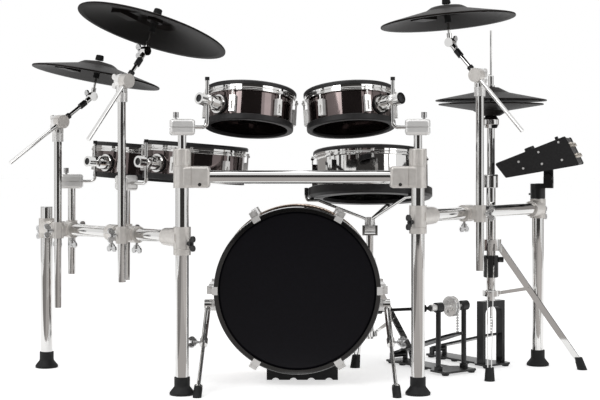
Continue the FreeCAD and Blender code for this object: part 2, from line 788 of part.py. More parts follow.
def stand_boom(stand):
    """Boom rod with its half of the tilter, the cymbal tilter, rod, seat and cap."""
    inner = stand.pivot + stand.axis * (TILTER_FACE + GAP)
    disc = rod(inner, stand.pivot + stand.axis * TILTER_OUT, TILTER_R)
    tail = stand.anchor - stand.boom * stand.tail
    disc = disc.cut(rod(tail, stand.head, BOOM_R + FIT))
    disc = disc.cut(rod(stand.pivot, stand.pivot + stand.axis * (TILTER_FACE + PIVOT_PIN_L + GAP),
                        PIVOT_PIN_R + FIT))
    arm = rod(tail, stand.head - stand.boom * HEAD_R, BOOM_R)
    half = stand.axis * (HEAD_W / 2)
    neck_top = stand.head + stand.normal * (HEAD_R * 2)
    rod_top = stand.rock + stand.normal * (BELL_TOP + CAP_GAP + CAP_H - 4)
    head = joined([rod(stand.head - half, stand.head + half, HEAD_R),
                   rod(stand.head - stand.boom * (HEAD_R * 2), stand.head - stand.boom * 2, BOOM_R + 2),
                   rod(stand.head + stand.normal * 2, neck_top, BOOM_R + 1.5)])
    head = head.cut(rod(tail, stand.head - stand.boom * HEAD_R, BOOM_R + FIT))
    head = head.fuse(rod(neck_top, rod_top, CYMBAL_ROD_R))
    local = frame_at(stand.rock, stand.normal)
    bore = CYMBAL_ROD_R + FIT
    seat = joined([Part.makeSphere(SEAT_R), rod(V(0, 0, -SEAT_SLEEVE_L), V(), SEAT_SLEEVE_R)])
    seat = seat.cut(rod(V(0, 0, -SEAT_SLEEVE_L - 1), V(0, 0, SEAT_R + 1), bore))
    base = BELL_TOP + CAP_GAP
    cap = turned([(bore, base), (CAP_R, base, 2), (CAP_R - 1.5, base + CAP_H, 4), (0, base + CAP_H),
                  (0, base + CAP_H - 4), (bore, base + CAP_H - 4)])
    screw = wing_bolt(stand.head - half, stand.axis * -1)
    collars = []
    for start, length in ((stand.anchor + stand.boom * (TILTER_R + COLLAR_SPACE), COLLAR_L),
                          (stand.head - stand.boom * (HEAD_R * 2 + COLLAR_SPACE + SLEEVE_L), SLEEVE_L)):
        collars.append(pipe(start, start + stand.boom * length, BOOM_R + COLLAR_WALL, COLLAR_WALL - FIT))
    return [disc, arm, head] + all_placed([seat, cap], local) + [screw] + collars


def cymbal_pad(stand):
    """Rubber cymbal pad rocking on the ball of its seat, with a jack box underneath."""
    edge = stand.radius
    body = turned([(0, BELL_TOP), (ROD_HOLE_R + 8, BELL_TOP, 6), (BELL_R * 0.72, BELL_TOP * 0.72, 22),
                   (BELL_R, BELL_FOOT, 8), (edge - 10, -BOW_DROP + 3, 60), (edge, -BOW_DROP, 2),
                   (edge, -BOW_DROP - EDGE_T, 1.5), (edge - 16, -BOW_DROP - EDGE_T + 1, 4),
                   (BELL_R, BELL_FOOT - PAD_T, 8), (BELL_R * 0.72, PAD_T, 6), (HUB_R, PAD_T, 2),
                   (HUB_R, -HUB_DROP, 2), (0, -HUB_DROP)])
    slope = (BOW_DROP + BELL_FOOT) / (edge - BELL_R)
    box_top = BELL_FOOT - PAD_T / 2 - slope * (JACK_BOX_AT - BELL_R)
    jack = box(JACK_BOX_AT - JACK_BOX_L / 2, JACK_BOX_AT + JACK_BOX_L / 2, -JACK_BOX_W / 2,
               JACK_BOX_W / 2, box_top - JACK_BOX_T, box_top - 6)
    jack_z = box_top - JACK_BOX_T / 2 - 3
    jack = jack.cut(rod(V(JACK_BOX_AT - JACK_BOX_L / 2 - 1, 0, jack_z),
                        V(JACK_BOX_AT - JACK_BOX_L / 4, 0, jack_z), JACK_R))
    lid = outline([(BELL_R, BELL_FOOT), (edge, -BOW_DROP), (edge, BELL_TOP), (BELL_R, BELL_TOP)])
    jack = jack.cut(lid.revolve(V(), UP, 360))
    body = joined([body, jack])
    body = body.cut(Part.makeSphere(SEAT_R + GAP))
    body = body.cut(rod(V(0, 0, 0), V(0, 0, BELL_TOP + 1), ROD_HOLE_R))
    return [placed(body, frame_at(stand.rock, stand.normal, V(-1, -1, 0)))]


def cymbal_nodes():
    """Poles, booms and pads of the three cymbals."""
    nodes = {}
    for stand in STANDS:
        nodes[stand.name + "_stand"] = stand_pole(stand)
        nodes[stand.name + "_boom"] = stand_boom(stand)
        nodes[stand.name + "_cymbal"] = cymbal_pad(stand)
    return nodes


# Tom pads and holders

def lug_ring(radius, count, first, base, top, hoop_z):
    """Slotted lugs with tension rods and ears, evenly round a shell."""
    reach = LUG_OUT
    post = box(radius - TOM_WALL / 2, radius + reach, -LUG_W / 2, LUG_W / 2, base, top)
    post = post.cut(box(radius + reach / 2, radius + reach + 1, -LUG_SLOT / 2, LUG_SLOT / 2,
                        base + LUG_SLOT, top - LUG_W))
    post = post.cut(rod(V(0, 0, base - 1), V(0, 0, top + 1), radius + FIT))
    rod_at = radius + HOOP_LIP + ROD_R + 1
    tension = rod(V(rod_at, 0, top), V(rod_at, 0, hoop_z + EAR_W), ROD_R)
    nut = rod(V(rod_at, 0, hoop_z + EAR_W / 2), V(rod_at, 0, hoop_z + EAR_W), ROD_R * 1.5)
    ear = box(radius + HOOP_LIP - 2, rod_at + ROD_R * 2, -EAR_W / 2, EAR_W / 2, hoop_z, hoop_z + EAR_W / 2)
    ear = ear.cut(rod(V(0, 0, hoop_z - 1), V(0, 0, hoop_z + EAR_W), radius + HOOP_LIP + FIT))
    one = joined([post, tension, nut, ear])
    return [placed(one, FreeCAD.Placement(V(), FreeCAD.Rotation(UP, first + 360.0 * index / count)))
            for index in range(count)]


def sensor(radius, wall, head_z):
    """Sensor bridge across a shell, with its foam cone under the head."""
    half = math.sqrt((radius - wall) ** 2 - (BRIDGE_W / 2) ** 2) - FIT
    bridge_z = head_z - BRIDGE_Z / 2
    bridge = box(-half, half, -BRIDGE_W / 2, BRIDGE_W / 2, bridge_z, bridge_z + BRIDGE_T)
    base = head_z - BRIDGE_Z / 2 + BRIDGE_T
    cone = turned([(0, base), (CONE_R, base), (CONE_TIP_R, head_z - FIT), (0, head_z - FIT)])
    return [bridge, cone]


def top_rings(radius, height):
    """Chrome hoop, rubber rim and mesh head at the top of a shell of this height."""
    hoop_top = height - RIM_H
    hoop_low = hoop_top - HOOP_H
    outer = radius + HOOP_LIP
    bore = radius + FIT
    hoop = turned([(bore, hoop_low), (outer, hoop_low, 1), (outer, hoop_low + HOOP_H / 4, 1),
                   (outer - 3, hoop_low + HOOP_H / 3), (outer - 3, hoop_low + HOOP_H / 2),
                   (outer - 1, hoop_low + HOOP_H * 0.6, 1), (outer - 1, hoop_top), (bore, hoop_top)])
    rim = turned([(radius - RIM_IN, hoop_top), (radius + RIM_LIP, hoop_top, 1.5),
                  (radius + RIM_LIP, height - 4, 3), (radius + RIM_LIP - 4, height, 3),
                  (radius + 1, height, 3), (radius - RIM_IN, height - 4, 3)])
    head = turned([(0, hoop_top - HEAD_T), (radius - FIT, hoop_top - HEAD_T), (radius - FIT, hoop_top),
                   (0, hoop_top)])
    return hoop, rim, head


def tom_bracket(radius):
    """Gasket, flanged socket that grips the ball of the holder's rod, and nose plug, along local +X."""
    centre = V(0, 0, BRACKET_Z)
    ball = centre + RIGHT * (radius + BALL_OUT)
    face = centre + RIGHT * (radius - PLATE_T)
    gasket_out = centre + RIGHT * (radius + GASKET_T)
    plate_out = centre + RIGHT * (radius + PLATE_T)
    nose_end = ball + RIGHT * NOSE_L
    drum = rod(V(0, 0, BRACKET_Z - PLATE_R * 2), V(0, 0, BRACKET_Z + PLATE_R * 2), radius + FIT)
    gasket = rod(face, gasket_out, PLATE_R + GASKET_LIP).cut(drum)
    flare = Part.makeCone(FLARE_R, NOSE_R, (ball - plate_out).Length, plate_out, RIGHT)
    body = joined([rod(gasket_out, plate_out, PLATE_R), flare, rod(ball, nose_end, NOSE_R),
                   Part.makeSphere(SOCKET_R, ball, RIGHT)])
    body = body.cut(Part.makeSphere(BALL_R + GAP, ball))
    plug_in = ball + RIGHT * SOCKET_R
    body = body.cut(rod(plug_in, nose_end + RIGHT, NOSE_BORE))
    plug = rod(plug_in, nose_end - RIGHT * PLUG_SUNK, NOSE_BORE)
    mouth = MOUTH_H * math.tan(math.radians(SOCKET_CONE))
    for way in SIDES:
        body = body.cut(Part.makeCone(0, mouth, MOUTH_H, ball, UP * way))
    return [body, gasket, plug]


def tom_pad(radius, mirrored):
    """Solids of one tom in its own frame: bottom centre at the origin, bracket along +X."""
    shell_top = TOM_H - RIM_H - HEAD_T
    shell = pipe(V(0, 0, TOM_FLOOR), V(0, 0, shell_top), radius, TOM_WALL)
    hoop, rim, head = top_rings(radius, TOM_H)
    bore = radius + FIT
    ring = turned([(radius - TOM_RING_IN, 0, 2), (radius + TOM_RING_LIP, 0, 3),
                   (radius + TOM_RING_LIP, TOM_RING_H, 2), (bore, TOM_RING_H), (bore, TOM_FLOOR),
                   (radius - TOM_RING_IN, TOM_FLOOR)])
    first = -TOM_FIRST_LUG if mirrored else TOM_FIRST_LUG
    lugs = lug_ring(radius, TOM_LUGS, first, LUG_BASE, LUG_TOP, TOM_H - RIM_H - HOOP_H)
    bridge, cone = sensor(radius, TOM_WALL, shell_top)
    bracket = tom_bracket(radius)
    return {"shell": [shell], "hardware": [hoop, bridge] + bracket + lugs, "pad": [rim, head, ring, cone]}


class Tom:
    """Where one tom and its holder are."""

    def __init__(self, name, radius, base, lean, tilt, bracket_angle, post, block_z, mirrored=False):
        self.name = name
        self.radius = radius
        self.mirrored = mirrored
        self.axis = tilt_normal(lean, tilt)
        self.frame = frame_at(base, self.axis, polar(1, bracket_angle))
        self.ball = self.frame.multVec(V(radius + BALL_OUT, 0, BRACKET_Z))
        self.post = post
        self.block_z = block_z


TOMS = [
    Tom("tom1", TOM_SMALL_R, V(-FRONT_TOM_X, FRONT_TOM_Y, FRONT_TOM_Z), FRONT_TOM_LEAN, FRONT_TOM_TILT,
        BRACKET_ANGLE, LEFT_FRONT, FRONT_BLOCK_Z),
    Tom("tom2", TOM_SMALL_R, V(FRONT_TOM_X, FRONT_TOM_Y, FRONT_TOM_Z), -FRONT_TOM_LEAN, FRONT_TOM_TILT,
        BRACKET_MIRROR, RIGHT_FRONT, FRONT_BLOCK_Z, True),
    Tom("tom3", TOM_LARGE_R, V(TOM3_X, TOM3_Y, TOM3_Z), SIDE_TOM_LEAN, SIDE_TOM_TILT, BRACKET_ANGLE,
        left_place(TOM3_ALONG, -POLE_OFFSET), SIDE_BLOCK_Z),
    Tom("tom4", TOM_LARGE_R, V(TOM4_X, TOM4_Y, TOM4_Z), SIDE_TOM_LEAN, SIDE_TOM_TILT, BRACKET_ANGLE,
        left_place(TOM4_ALONG, -POLE_OFFSET), SIDE_BLOCK_Z),
]


def tom_holder(tom, foot_z):
    """Post, two-part block and L-rod with the ball that carries a tom."""
    post_low = V(tom.post.x, tom.post.y, foot_z)
    block_at = V(tom.post.x, tom.post.y, tom.block_z)
    corner = V(tom.ball.x, tom.ball.y, tom.block_z)
    run = unit(corner - block_at)
    post_top = block_at + V(0, 0, BLOCK_H / 2 - BLOCK_ROUND)
    post = pipe(post_low, post_top, POLE_R, POLE_WALL)
    half_l = BLOCK_L / 2
    half_w = BLOCK_W / 2
    half_h = BLOCK_H / 2
    block = soft_box(-half_l, half_l, -half_w, half_w, -half_h, half_h, BLOCK_ROUND)
    inset = BLOCK_SLIT_DEPTH
    slit = box(-half_l - 1, half_l + 1, -half_w - 1, half_w + 1, -BLOCK_SLIT / 2, BLOCK_SLIT / 2)
    slit = slit.cut(box(-half_l + inset, half_l - inset, -half_w + inset, half_w - inset, -half_h, half_h))
    block = block.cut(slit)
    block = block.cut(rod(V(0, 0, -half_h - 1), V(0, 0, half_h - BLOCK_ROUND), POLE_R + FIT))
    rod_start = V(POLE_R + FIT + 2, 0, 0)
    block = block.cut(rod(rod_start, V(half_l + 1, 0, 0), L_ROD_R + FIT))
    screw_at = V(-half_l / 2, 0, half_h)
    screw = joined([rod(screw_at, screw_at + UP * THUMB_LIFT, THUMB_R / 2),
                    rod(screw_at + UP * THUMB_LIFT, screw_at + UP * THUMB_H, THUMB_R)])
    block_frame = frame_at(block_at, UP, run)
    start = block_frame.multVec(rod_start)
    bend_in = corner - run * L_ROD_BEND
    bend_out = corner + V(0, 0, L_ROD_BEND)
    diagonal = L_ROD_BEND * (1 - math.sqrt(0.5))
    bend_mid = corner - run * diagonal + V(0, 0, diagonal)
    top = tom.ball + V(0, 0, L_ROD_ABOVE)
    path = Part.Wire([Part.LineSegment(start, bend_in).toShape(),
                      Part.Arc(bend_in, bend_mid, bend_out).toShape(),
                      Part.LineSegment(bend_out, top).toShape()])
    section = Part.Wire(Part.makeCircle(L_ROD_R, start, run))
    l_rod = joined([path.makePipeShell([section], True, False), Part.makeSphere(BALL_R, tom.ball)])
    tip = rod(top, top + V(0, 0, L_ROD_TIP_H), L_ROD_TIP_R)
    return [post] + all_placed([block, screw], block_frame) + [l_rod, tip]


def tom_nodes():
    """Four toms and their holders."""
    nodes = {"front_tom_holders": [], "side_tom_holders": []}
    for tom in TOMS:
        for kind, solids in tom_pad(tom.radius, tom.mirrored).items():
            nodes[tom.name + "_" + kind] = all_placed(solids, tom.frame)
        if tom.block_z == FRONT_BLOCK_Z:
            nodes["front_tom_holders"] += tom_holder(tom, FRONT_BAR_Z + CLAMP_H)
        else:
            nodes["side_tom_holders"] += tom_holder(tom, POST_FOOT_Z)
    return nodes


# Snare and its stand

SNARE_AXIS = tilt_normal(0, SNARE_TILT)
SNARE_FRAME = frame_at(V(SNARE_X, SNARE_Y, SNARE_Z), SNARE_AXIS)
SNARE_PIVOT = V(SNARE_X, SNARE_Y, SNARE_PIVOT_Z)


def snare_pad():
    """Solids of the snare in its own frame, bottom centre at the origin."""
    shell_top = SNARE_H - RIM_H - HEAD_T
    shell = pipe(V(0, 0, TRAY_FLOOR), V(0, 0, shell_top), SNARE_R, TOM_WALL)
    hoop, rim, head = top_rings(SNARE_R, SNARE_H)
    bore = SNARE_R + FIT
    tray = turned([(SNARE_R - TRAY_IN, 0), (TRAY_R - 8, 0, 3), (TRAY_R, 8, 3), (TRAY_R, TRAY_H - 3, 2),
                   (TRAY_R - 6, TRAY_H, 2), (bore, TRAY_H), (bore, TRAY_FLOOR),
                   (SNARE_R - TRAY_IN, TRAY_FLOOR)])
    lugs = lug_ring(SNARE_R, SNARE_LUGS, 0, TRAY_H + 6, SNARE_H - RIM_H - HOOP_H - 14,
                    SNARE_H - RIM_H - HOOP_H)
    bridge, cone = sensor(SNARE_R, TOM_WALL, shell_top)
    return {"shell": [shell], "hardware": [hoop, bridge] + lugs, "pad": [rim, head, tray, cone]}


def bent_rod(points, bends, radius):
    """Round rod along straight runs joined by arcs, one bend radius for each inner point."""
    edges = []
    start = points[0]
    for before, corner, after, bend in zip(points, points[1:], points[2:], bends):
        come = unit(corner - before)
        leave = unit(after - corner)
        half_turn = come.getAngle(leave) / 2
        back = bend * math.tan(half_turn)
        inset = bend / math.cos(half_turn) - bend
        arc_in = corner - come * back
        arc_out = corner + leave * back
        edges.append(Part.LineSegment(start, arc_in).toShape())
        edges.append(Part.Arc(arc_in, corner + unit(leave - come) * inset, arc_out).toShape())
        start = arc_out
    edges.append(Part.LineSegment(start, points[-1]).toShape())
    section = Part.Wire(Part.makeCircle(radius, points[0], unit(points[1] - points[0])))
    return Part.Wire(edges).makePipeShell([section], True, False)


def snare_basket():
    """Basket hub on its tilt pin, with three arms and rubber fingers."""
    pivot = SNARE_FRAME.inverse().multVec(SNARE_PIVOT)
    axis = V(0, pivot.y, 0)
    hub_top = axis + V(0, 0, pivot.z + BASKET_HUB_R * 2)
    hub = joined([rod(pivot, hub_top, BASKET_HUB_R),
                  rod(pivot - RIGHT * BASKET_HUB_R, pivot + RIGHT * BASKET_HUB_R, BASKET_HUB_R)])
    solids = []
    finger_at = TRAY_R + FINGER_R + FINGER_GAP
    for index in range(3):
        way = polar(1, SNARE_FOOT_ANGLE + 60 + 120 * index)
        knee = way * (TRAY_R - ARM_KNEE_IN) + V(0, 0, -ARM_DROP)
        end = way * finger_at + V(0, 0, -ARM_DROP)
        tip = end + V(0, 0, TRAY_H)
        arm = bent_rod([hub_top - V(0, 0, ARM_R * 2), knee, end, tip], [ARM_BEND, ARM_BEND / 2], ARM_R).cut(hub)
        arm = max(arm.Solids, key=lambda solid: solid.Volume)
        sleeve_low = end + V(0, 0, ARM_BEND)
        sleeve = rod(sleeve_low, tip + V(0, 0, ARM_R), FINGER_R).cut(rod(sleeve_low, tip, ARM_R + FIT))
        seat_at = way * (TRAY_R - ARM_REST_IN)
        rest = rod(seat_at - V(0, 0, ARM_DROP), seat_at, ARM_R + 2).cut(arm)
        rest = max(rest.Solids, key=lambda solid: solid.BoundBox.ZMax)
        solids += [arm, sleeve, rest]
    hub = hub.cut(rod(pivot - RIGHT * (BASKET_HUB_R * 2), pivot + RIGHT * (BASKET_HUB_R * 2), SPUR_PIN_R + FIT))
    return all_placed([hub] + solids, SNARE_FRAME)


def tripod_leg(centre, reach, angle, collar_z, low_z, tube_r, strut_at):
    """Double-strip leg with its strut, from a collar on the tube to a rubber foot."""
    way = polar(1, angle)
    across = polar(1, angle + 90)
    top = centre + way * (tube_r + LEG_W / 2) + V(0, 0, collar_z)
    toe = centre + way * (reach - SMALL_FOOT_R) + V(0, 0, SMALL_FOOT_H)
    middle = top + (toe - top) * strut_at
    low = centre + way * (tube_r + LEG_T) + V(0, 0, low_z)
    strips = [bar_between(top + across * (side * LEG_SPREAD_TOP), toe + across * (side * LEG_SPREAD_TOE), LEG_T,
                          LEG_W, across) for side in SIDES]
    strut = bar_between(low, middle, STRUT_T, STRUT_W, across)
    rivets = [rod(place - across * (LEG_SPREAD_TOP + LEG_T), place + across * (LEG_SPREAD_TOP + LEG_T), RIVET_R)
              for place in (top, middle)]
    return joined(strips + [strut] + rivets)


def small_foot(centre, reach, angle):
    """Rubber foot at the end of a tripod leg."""
    way = polar(1, angle)
    toe = centre + way * (reach - SMALL_FOOT_R)
    sole = centre + way * reach
    body = Part.makeLoft([Part.Wire(Part.makeCircle(SMALL_FOOT_R + 3, sole, UP)),
                          Part.Wire(Part.makeCircle(SMALL_FOOT_R, toe + V(0, 0, SMALL_FOOT_H * 1.3), UP))],
                         True, True)
    return body


def tube_collar(centre, z, height, tube_r, outer):
    """Collar round a stand's tube, with its centre at z."""
    ring = pipe(V(0, 0, z - height / 2), V(0, 0, z + height / 2), outer, outer - tube_r - FIT)
    return placed(ring, frame_at(V(centre.x, centre.y, 0)))


def snare_stand():
    """Tube, collars, tripod and tilt pin of the snare stand, with its feet."""
    centre = V(SNARE_X, SNARE_Y, 0)
    legs = []
    feet = []
    for index in range(3):
        angle = SNARE_FOOT_ANGLE + 120 * index
        foot = small_foot(centre, SNARE_FOOT_REACH, angle)
        leg = tripod_leg(centre, SNARE_FOOT_REACH, angle, SNARE_COLLAR_Z, SNARE_LOW_COLLAR_Z, STAND_TUBE_R,
                         SNARE_STRUT_AT)
        feet.append(foot.cut(leg))
        legs.append(leg)
    outer = STAND_TUBE_R + LEG_W
    collars = [tube_collar(centre, SNARE_COLLAR_Z, LEG_W * 2, STAND_TUBE_R, outer),
               tube_collar(centre, SNARE_LOW_COLLAR_Z, LEG_W, STAND_TUBE_R, outer - 4)]
    tube = pipe(centre + V(0, 0, SNARE_LOW_COLLAR_Z - LEG_W), centre + V(0, 0, SNARE_COLLAR_Z + LEG_W * 5),
                STAND_TUBE_R, POLE_WALL)
    inner_low = centre + V(0, 0, SNARE_COLLAR_Z)
    yoke_z = SNARE_PIVOT_Z - BASKET_HUB_R - EAR_T
    inner = rod(inner_low, centre + V(0, 0, yoke_z), STAND_TUBE_R - POLE_WALL - FIT)
    half = BASKET_HUB_R + GAP
    yoke = [box(-half - EAR_T, half + EAR_T, -BASKET_HUB_R / 2, BASKET_HUB_R / 2, -EAR_T, -YOKE_ROOM)]
    for side in SIDES:
        yoke.append(box(min(side * half, side * (half + EAR_T)), max(side * half, side * (half + EAR_T)),
                        -BASKET_HUB_R / 2, BASKET_HUB_R / 2, -EAR_T, BASKET_HUB_R * 1.5))
    pin_z = V(0, 0, BASKET_HUB_R)
    pin = rod(pin_z - RIGHT * (half + EAR_T), pin_z + RIGHT * (half + EAR_T), SPUR_PIN_R)
    yoke_solid = placed(joined(yoke + [pin]), frame_at(centre + V(0, 0, SNARE_PIVOT_Z - BASKET_HUB_R)))
    lock = tube_collar(centre, SNARE_COLLAR_Z + LEG_W * 4, LEG_W * 2, STAND_TUBE_R, STAND_TUBE_R + 7)
    bolt = wing_bolt(centre + V(0, STAND_TUBE_R + 7, SNARE_COLLAR_Z + LEG_W * 4), BACK)
    solids = [joined([leg.cut(tube) for leg in legs] + collars), tube, joined([inner, yoke_solid]), lock, bolt]
    return solids, feet


# Bass drum

BASS_FRAME = frame_at(V(BASS_X, BASS_FRONT_Y, BASS_Z), BACK, RIGHT)


def flipped(shape):
    """The same shape at the other end of the bass drum."""
    return shape.mirror(V(0, 0, BASS_DEPTH / 2), UP)


def bass_solids():
    """Shell, hoops, heads and hardware of the bass drum in its own frame, front face at Z 0."""
    film_back = BASS_RECESS + BASS_FILM
    shell = pipe(V(0, 0, film_back), V(0, 0, BASS_DEPTH - film_back), BASS_R, BASS_WALL)
    collar = BASS_R + BASS_COLLAR
    hoop_r = collar + FIT + BASS_HOOP_W
    hoop = turned([(collar + FIT, 0), (hoop_r, 0, 3), (hoop_r, BASS_HOOP_H, 3), (collar + FIT, BASS_HOOP_H)])
    head = turned([(0, BASS_RECESS), (collar - 5, BASS_RECESS), (collar, BASS_RECESS + 3), (collar, BASS_SKIRT),
                   (BASS_R + FIT, BASS_SKIRT), (BASS_R + FIT, film_back), (0, film_back)])
    half = CLAW_W / 2
    bore_at = BASS_R + TENSION_OUT
    outer = hoop_r + FIT
    claw = joined([box(hoop_r - CLAW_FOOT, outer + CLAW_T, -half, half, -CLAW_T, 0),
                   box(outer, outer + CLAW_T, -half, half, -CLAW_T, BASS_HOOP_H),
                   box(outer, bore_at + TENSION_R * 3, -half, half, BASS_HOOP_H - 12, BASS_HOOP_H)])
    tension_low = BASS_HOOP_H - 20
    lug_low = BASS_DEPTH / 2 - BASS_LUG_L / 2
    tension = joined([rod(V(bore_at, 0, tension_low), V(bore_at, 0, lug_low), TENSION_R),
                      rod(V(bore_at, 0, tension_low), V(bore_at, 0, BASS_HOOP_H - 12), TENSION_R * 2)])
    claw = claw.cut(rod(V(bore_at, 0, 0), V(bore_at, 0, lug_low), TENSION_R + FIT))
    lug = soft_box(BASS_R - 4, bore_at + TENSION_R * 3, -BASS_LUG_W / 2, BASS_LUG_W / 2, lug_low,
                   lug_low + BASS_LUG_L, 3)
    lug = lug.cut(rod(V(), V(0, 0, BASS_DEPTH), BASS_R + FIT))
    hardware = []
    for index in range(CLAW_COUNT):
        spin = FreeCAD.Placement(V(), FreeCAD.Rotation(UP, 360.0 * index / CLAW_COUNT))
        one = [lug, claw, tension, flipped(claw), flipped(tension)]
        hardware += all_placed(one, spin)
    pad_face = BASS_DEPTH - BASS_RECESS
    kick_pad = turned([(0, pad_face), (KICK_PAD_R, pad_face), (KICK_PAD_R - 4, pad_face + BASS_FILM),
                       (0, pad_face + BASS_FILM)])
    foam = turned([(0, pad_face - BASS_FILM - KICK_PAD_T), (KICK_PAD_R, pad_face - BASS_FILM - KICK_PAD_T),
                   (KICK_PAD_R, pad_face - BASS_FILM), (0, pad_face - BASS_FILM)])
    inner = BASS_R - BASS_WALL
    beam_half = math.sqrt(inner ** 2 - (BRIDGE_W / 2) ** 2) - FIT
    beam_back = pad_face - BASS_FILM - KICK_PAD_T
    beam = box(-BRIDGE_W / 2, BRIDGE_W / 2, -beam_half, beam_half, beam_back - BRIDGE_T * 2, beam_back)
    hardware.append(beam)
    return {"bass_shell": [shell], "bass_hoops": [hoop, flipped(hoop)],
            "bass_heads": [head, flipped(head), kick_pad, foam], "bass_hardware": hardware}


def spur_boss(side):
    """Boss on the bass shell that carries a spur, with its pin."""
    centre = V(BASS_X, SPUR_Y, SPUR_Z)
    out = V(side, 0, 0)
    face = out * (BASS_R + SPUR_BOSS_OUT)
    boss = joined([rod(centre + out * (BASS_R / 2), centre + face, SPUR_BOSS_R),
                   rod(centre + face, centre + face + out * (SPUR_HUB_T / 2), SPUR_PIN_R)])
    shell = rod(V(BASS_X, BASS_FRONT_Y, BASS_Z), V(BASS_X, BASS_FRONT_Y + BASS_DEPTH, BASS_Z), BASS_R + FIT)
    pieces = boss.cut(shell).Solids
    return max(pieces, key=lambda solid: solid.Volume)


def spur_hub(side):
    """Centre of a spur's hub."""
    return V(BASS_X + side * (BASS_R + SPUR_BOSS_OUT + GAP + SPUR_HUB_T / 2), SPUR_Y, SPUR_Z)


def spur(side):
    """Folding spur: hub, tube, rod, collar and rubber tip."""
    hub_at = spur_hub(side)
    half = V(side * SPUR_HUB_T / 2, 0, 0)
    tip = V(hub_at.x + side * SPUR_SPLAY, SPUR_TIP_Y, 0)
    way = unit(tip - hub_at)
    length = (tip - hub_at).Length
    tube_end = hub_at + way * SPUR_TUBE_L
    cup = hub_at + way * (length - SPUR_TIP_L)
    hub = joined([rod(hub_at - half, hub_at + half, SPUR_BOSS_R), rod(hub_at, tube_end, SPUR_TUBE_R),
                  rod(tube_end - way * 24, tube_end, SPUR_TUBE_R + 3),
                  rod(tube_end, cup, SPUR_ROD_R), rod(cup - way * 8, cup, SPUR_TIP_R)])
    hub = hub.cut(rod(hub_at - half * 1.1, hub_at + half * 0.1, SPUR_PIN_R + FIT))
    screw = wing_bolt(tube_end - way * 12 + V(side * (SPUR_TUBE_R + 3), 0, 0), V(side, 0, 0), way).cut(hub)
    rubber = joined([rod(cup, tip, SPUR_TIP_R), Part.makeSphere(SPUR_TIP_R, tip)])
    floor = box(tip.x - 50, tip.x + 50, tip.y - 50, tip.y + 50, -50, 0)
    return [hub, screw, rubber.cut(floor)]


def riser():
    """Rubber block under the bass shell."""
    front = RISER_Y - RISER_L / 2
    back = RISER_Y + RISER_L / 2
    saddle = box(BASS_X - SADDLE_W / 2, BASS_X + SADDLE_W / 2, front, back, RISER_H, BASS_Z)
    start = V(BASS_X, BASS_FRONT_Y, BASS_Z)
    saddle = saddle.cut(rod(start, start + BACK * BASS_DEPTH, BASS_R + FIT))
    block = joined([box(RISER_X - RISER_W / 2, RISER_X + RISER_W / 2, front, back, 0, RISER_H), saddle])
    for index in range(RISER_NOTCHES):
        along = RISER_W * ((index + 0.5) / RISER_NOTCHES - 0.5)
        notch = V(RISER_X + along, front, -RISER_NOTCH_R / 2)
        block = block.cut(rod(notch, notch + BACK * RISER_L, RISER_NOTCH_R))
    return block


# Pedals

MAIN_FRAME = frame_at(V(BASS_X, MAIN_Y, 0))
SLAVE_FRAME = frame_at(V(SLAVE_X, SLAVE_Y, 0), UP, V(PEDAL_LEAN_Y, PEDAL_LEAN_X, 0))
HIHAT_FRAME = frame_at(V(HIHAT_X, HIHAT_Y, 0), UP, V(PEDAL_LEAN_Y, PEDAL_LEAN_X, 0))
CHAIN_R = CAM_R + CHAIN_T / 2 + 0.5
HEEL = V(0, HEEL_Y, HEEL_Z)


def base_plate(front, wide):
    """Floor plate of a pedal with rubber studs, heel ears and hinge pin."""
    top = BASE_Z + BASE_T
    plate = slab([(-wide, -front, 8), (wide, -front, 8), (wide, front / 2, 6), (BASE_HALF - 8, front, 10),
                  (BASE_HALF - 8, BASE_BACK, 10), (-BASE_HALF + 8, BASE_BACK, 10), (-BASE_HALF + 8, front, 10),
                  (-wide, front / 2, 6)], BASE_T)
    plate.translate(V(0, 0, BASE_Z))
    parts = [plate]
    for side in SIDES:
        inner = HEEL_HALF + GAP
        ear = box(min(side * inner, side * (inner + EAR_T)), max(side * inner, side * (inner + EAR_T)),
                  HEEL_Y - HEEL_BARREL_R, HEEL_Y + HEEL_BARREL_R, top - 1, HEEL_Z + HEEL_BARREL_R)
        parts.append(ear)
    reach = RIGHT * (HEEL_HALF + GAP + EAR_T)
    parts.append(rod(HEEL - reach, HEEL + reach, HEEL_PIN_R))
    studs = []
    stud_x = BASE_HALF - PAD_FOOT_R * 2
    places = [(side * (wide - PAD_FOOT_R), PAD_FOOT_R - front) for side in SIDES]
    for row in range(STUD_ROWS):
        along = front + (BASE_BACK - PAD_FOOT_R - front) * (row + 1) / STUD_ROWS
        places += [(side * stud_x, along) for side in SIDES]
    for x, y in places:
        studs.append(turned([(0, 0), (PAD_FOOT_R - 3, 0, 2), (PAD_FOOT_R, BASE_Z), (0, BASE_Z)]))
        studs[-1].translate(V(x, y, 0))
    return joined(parts), studs


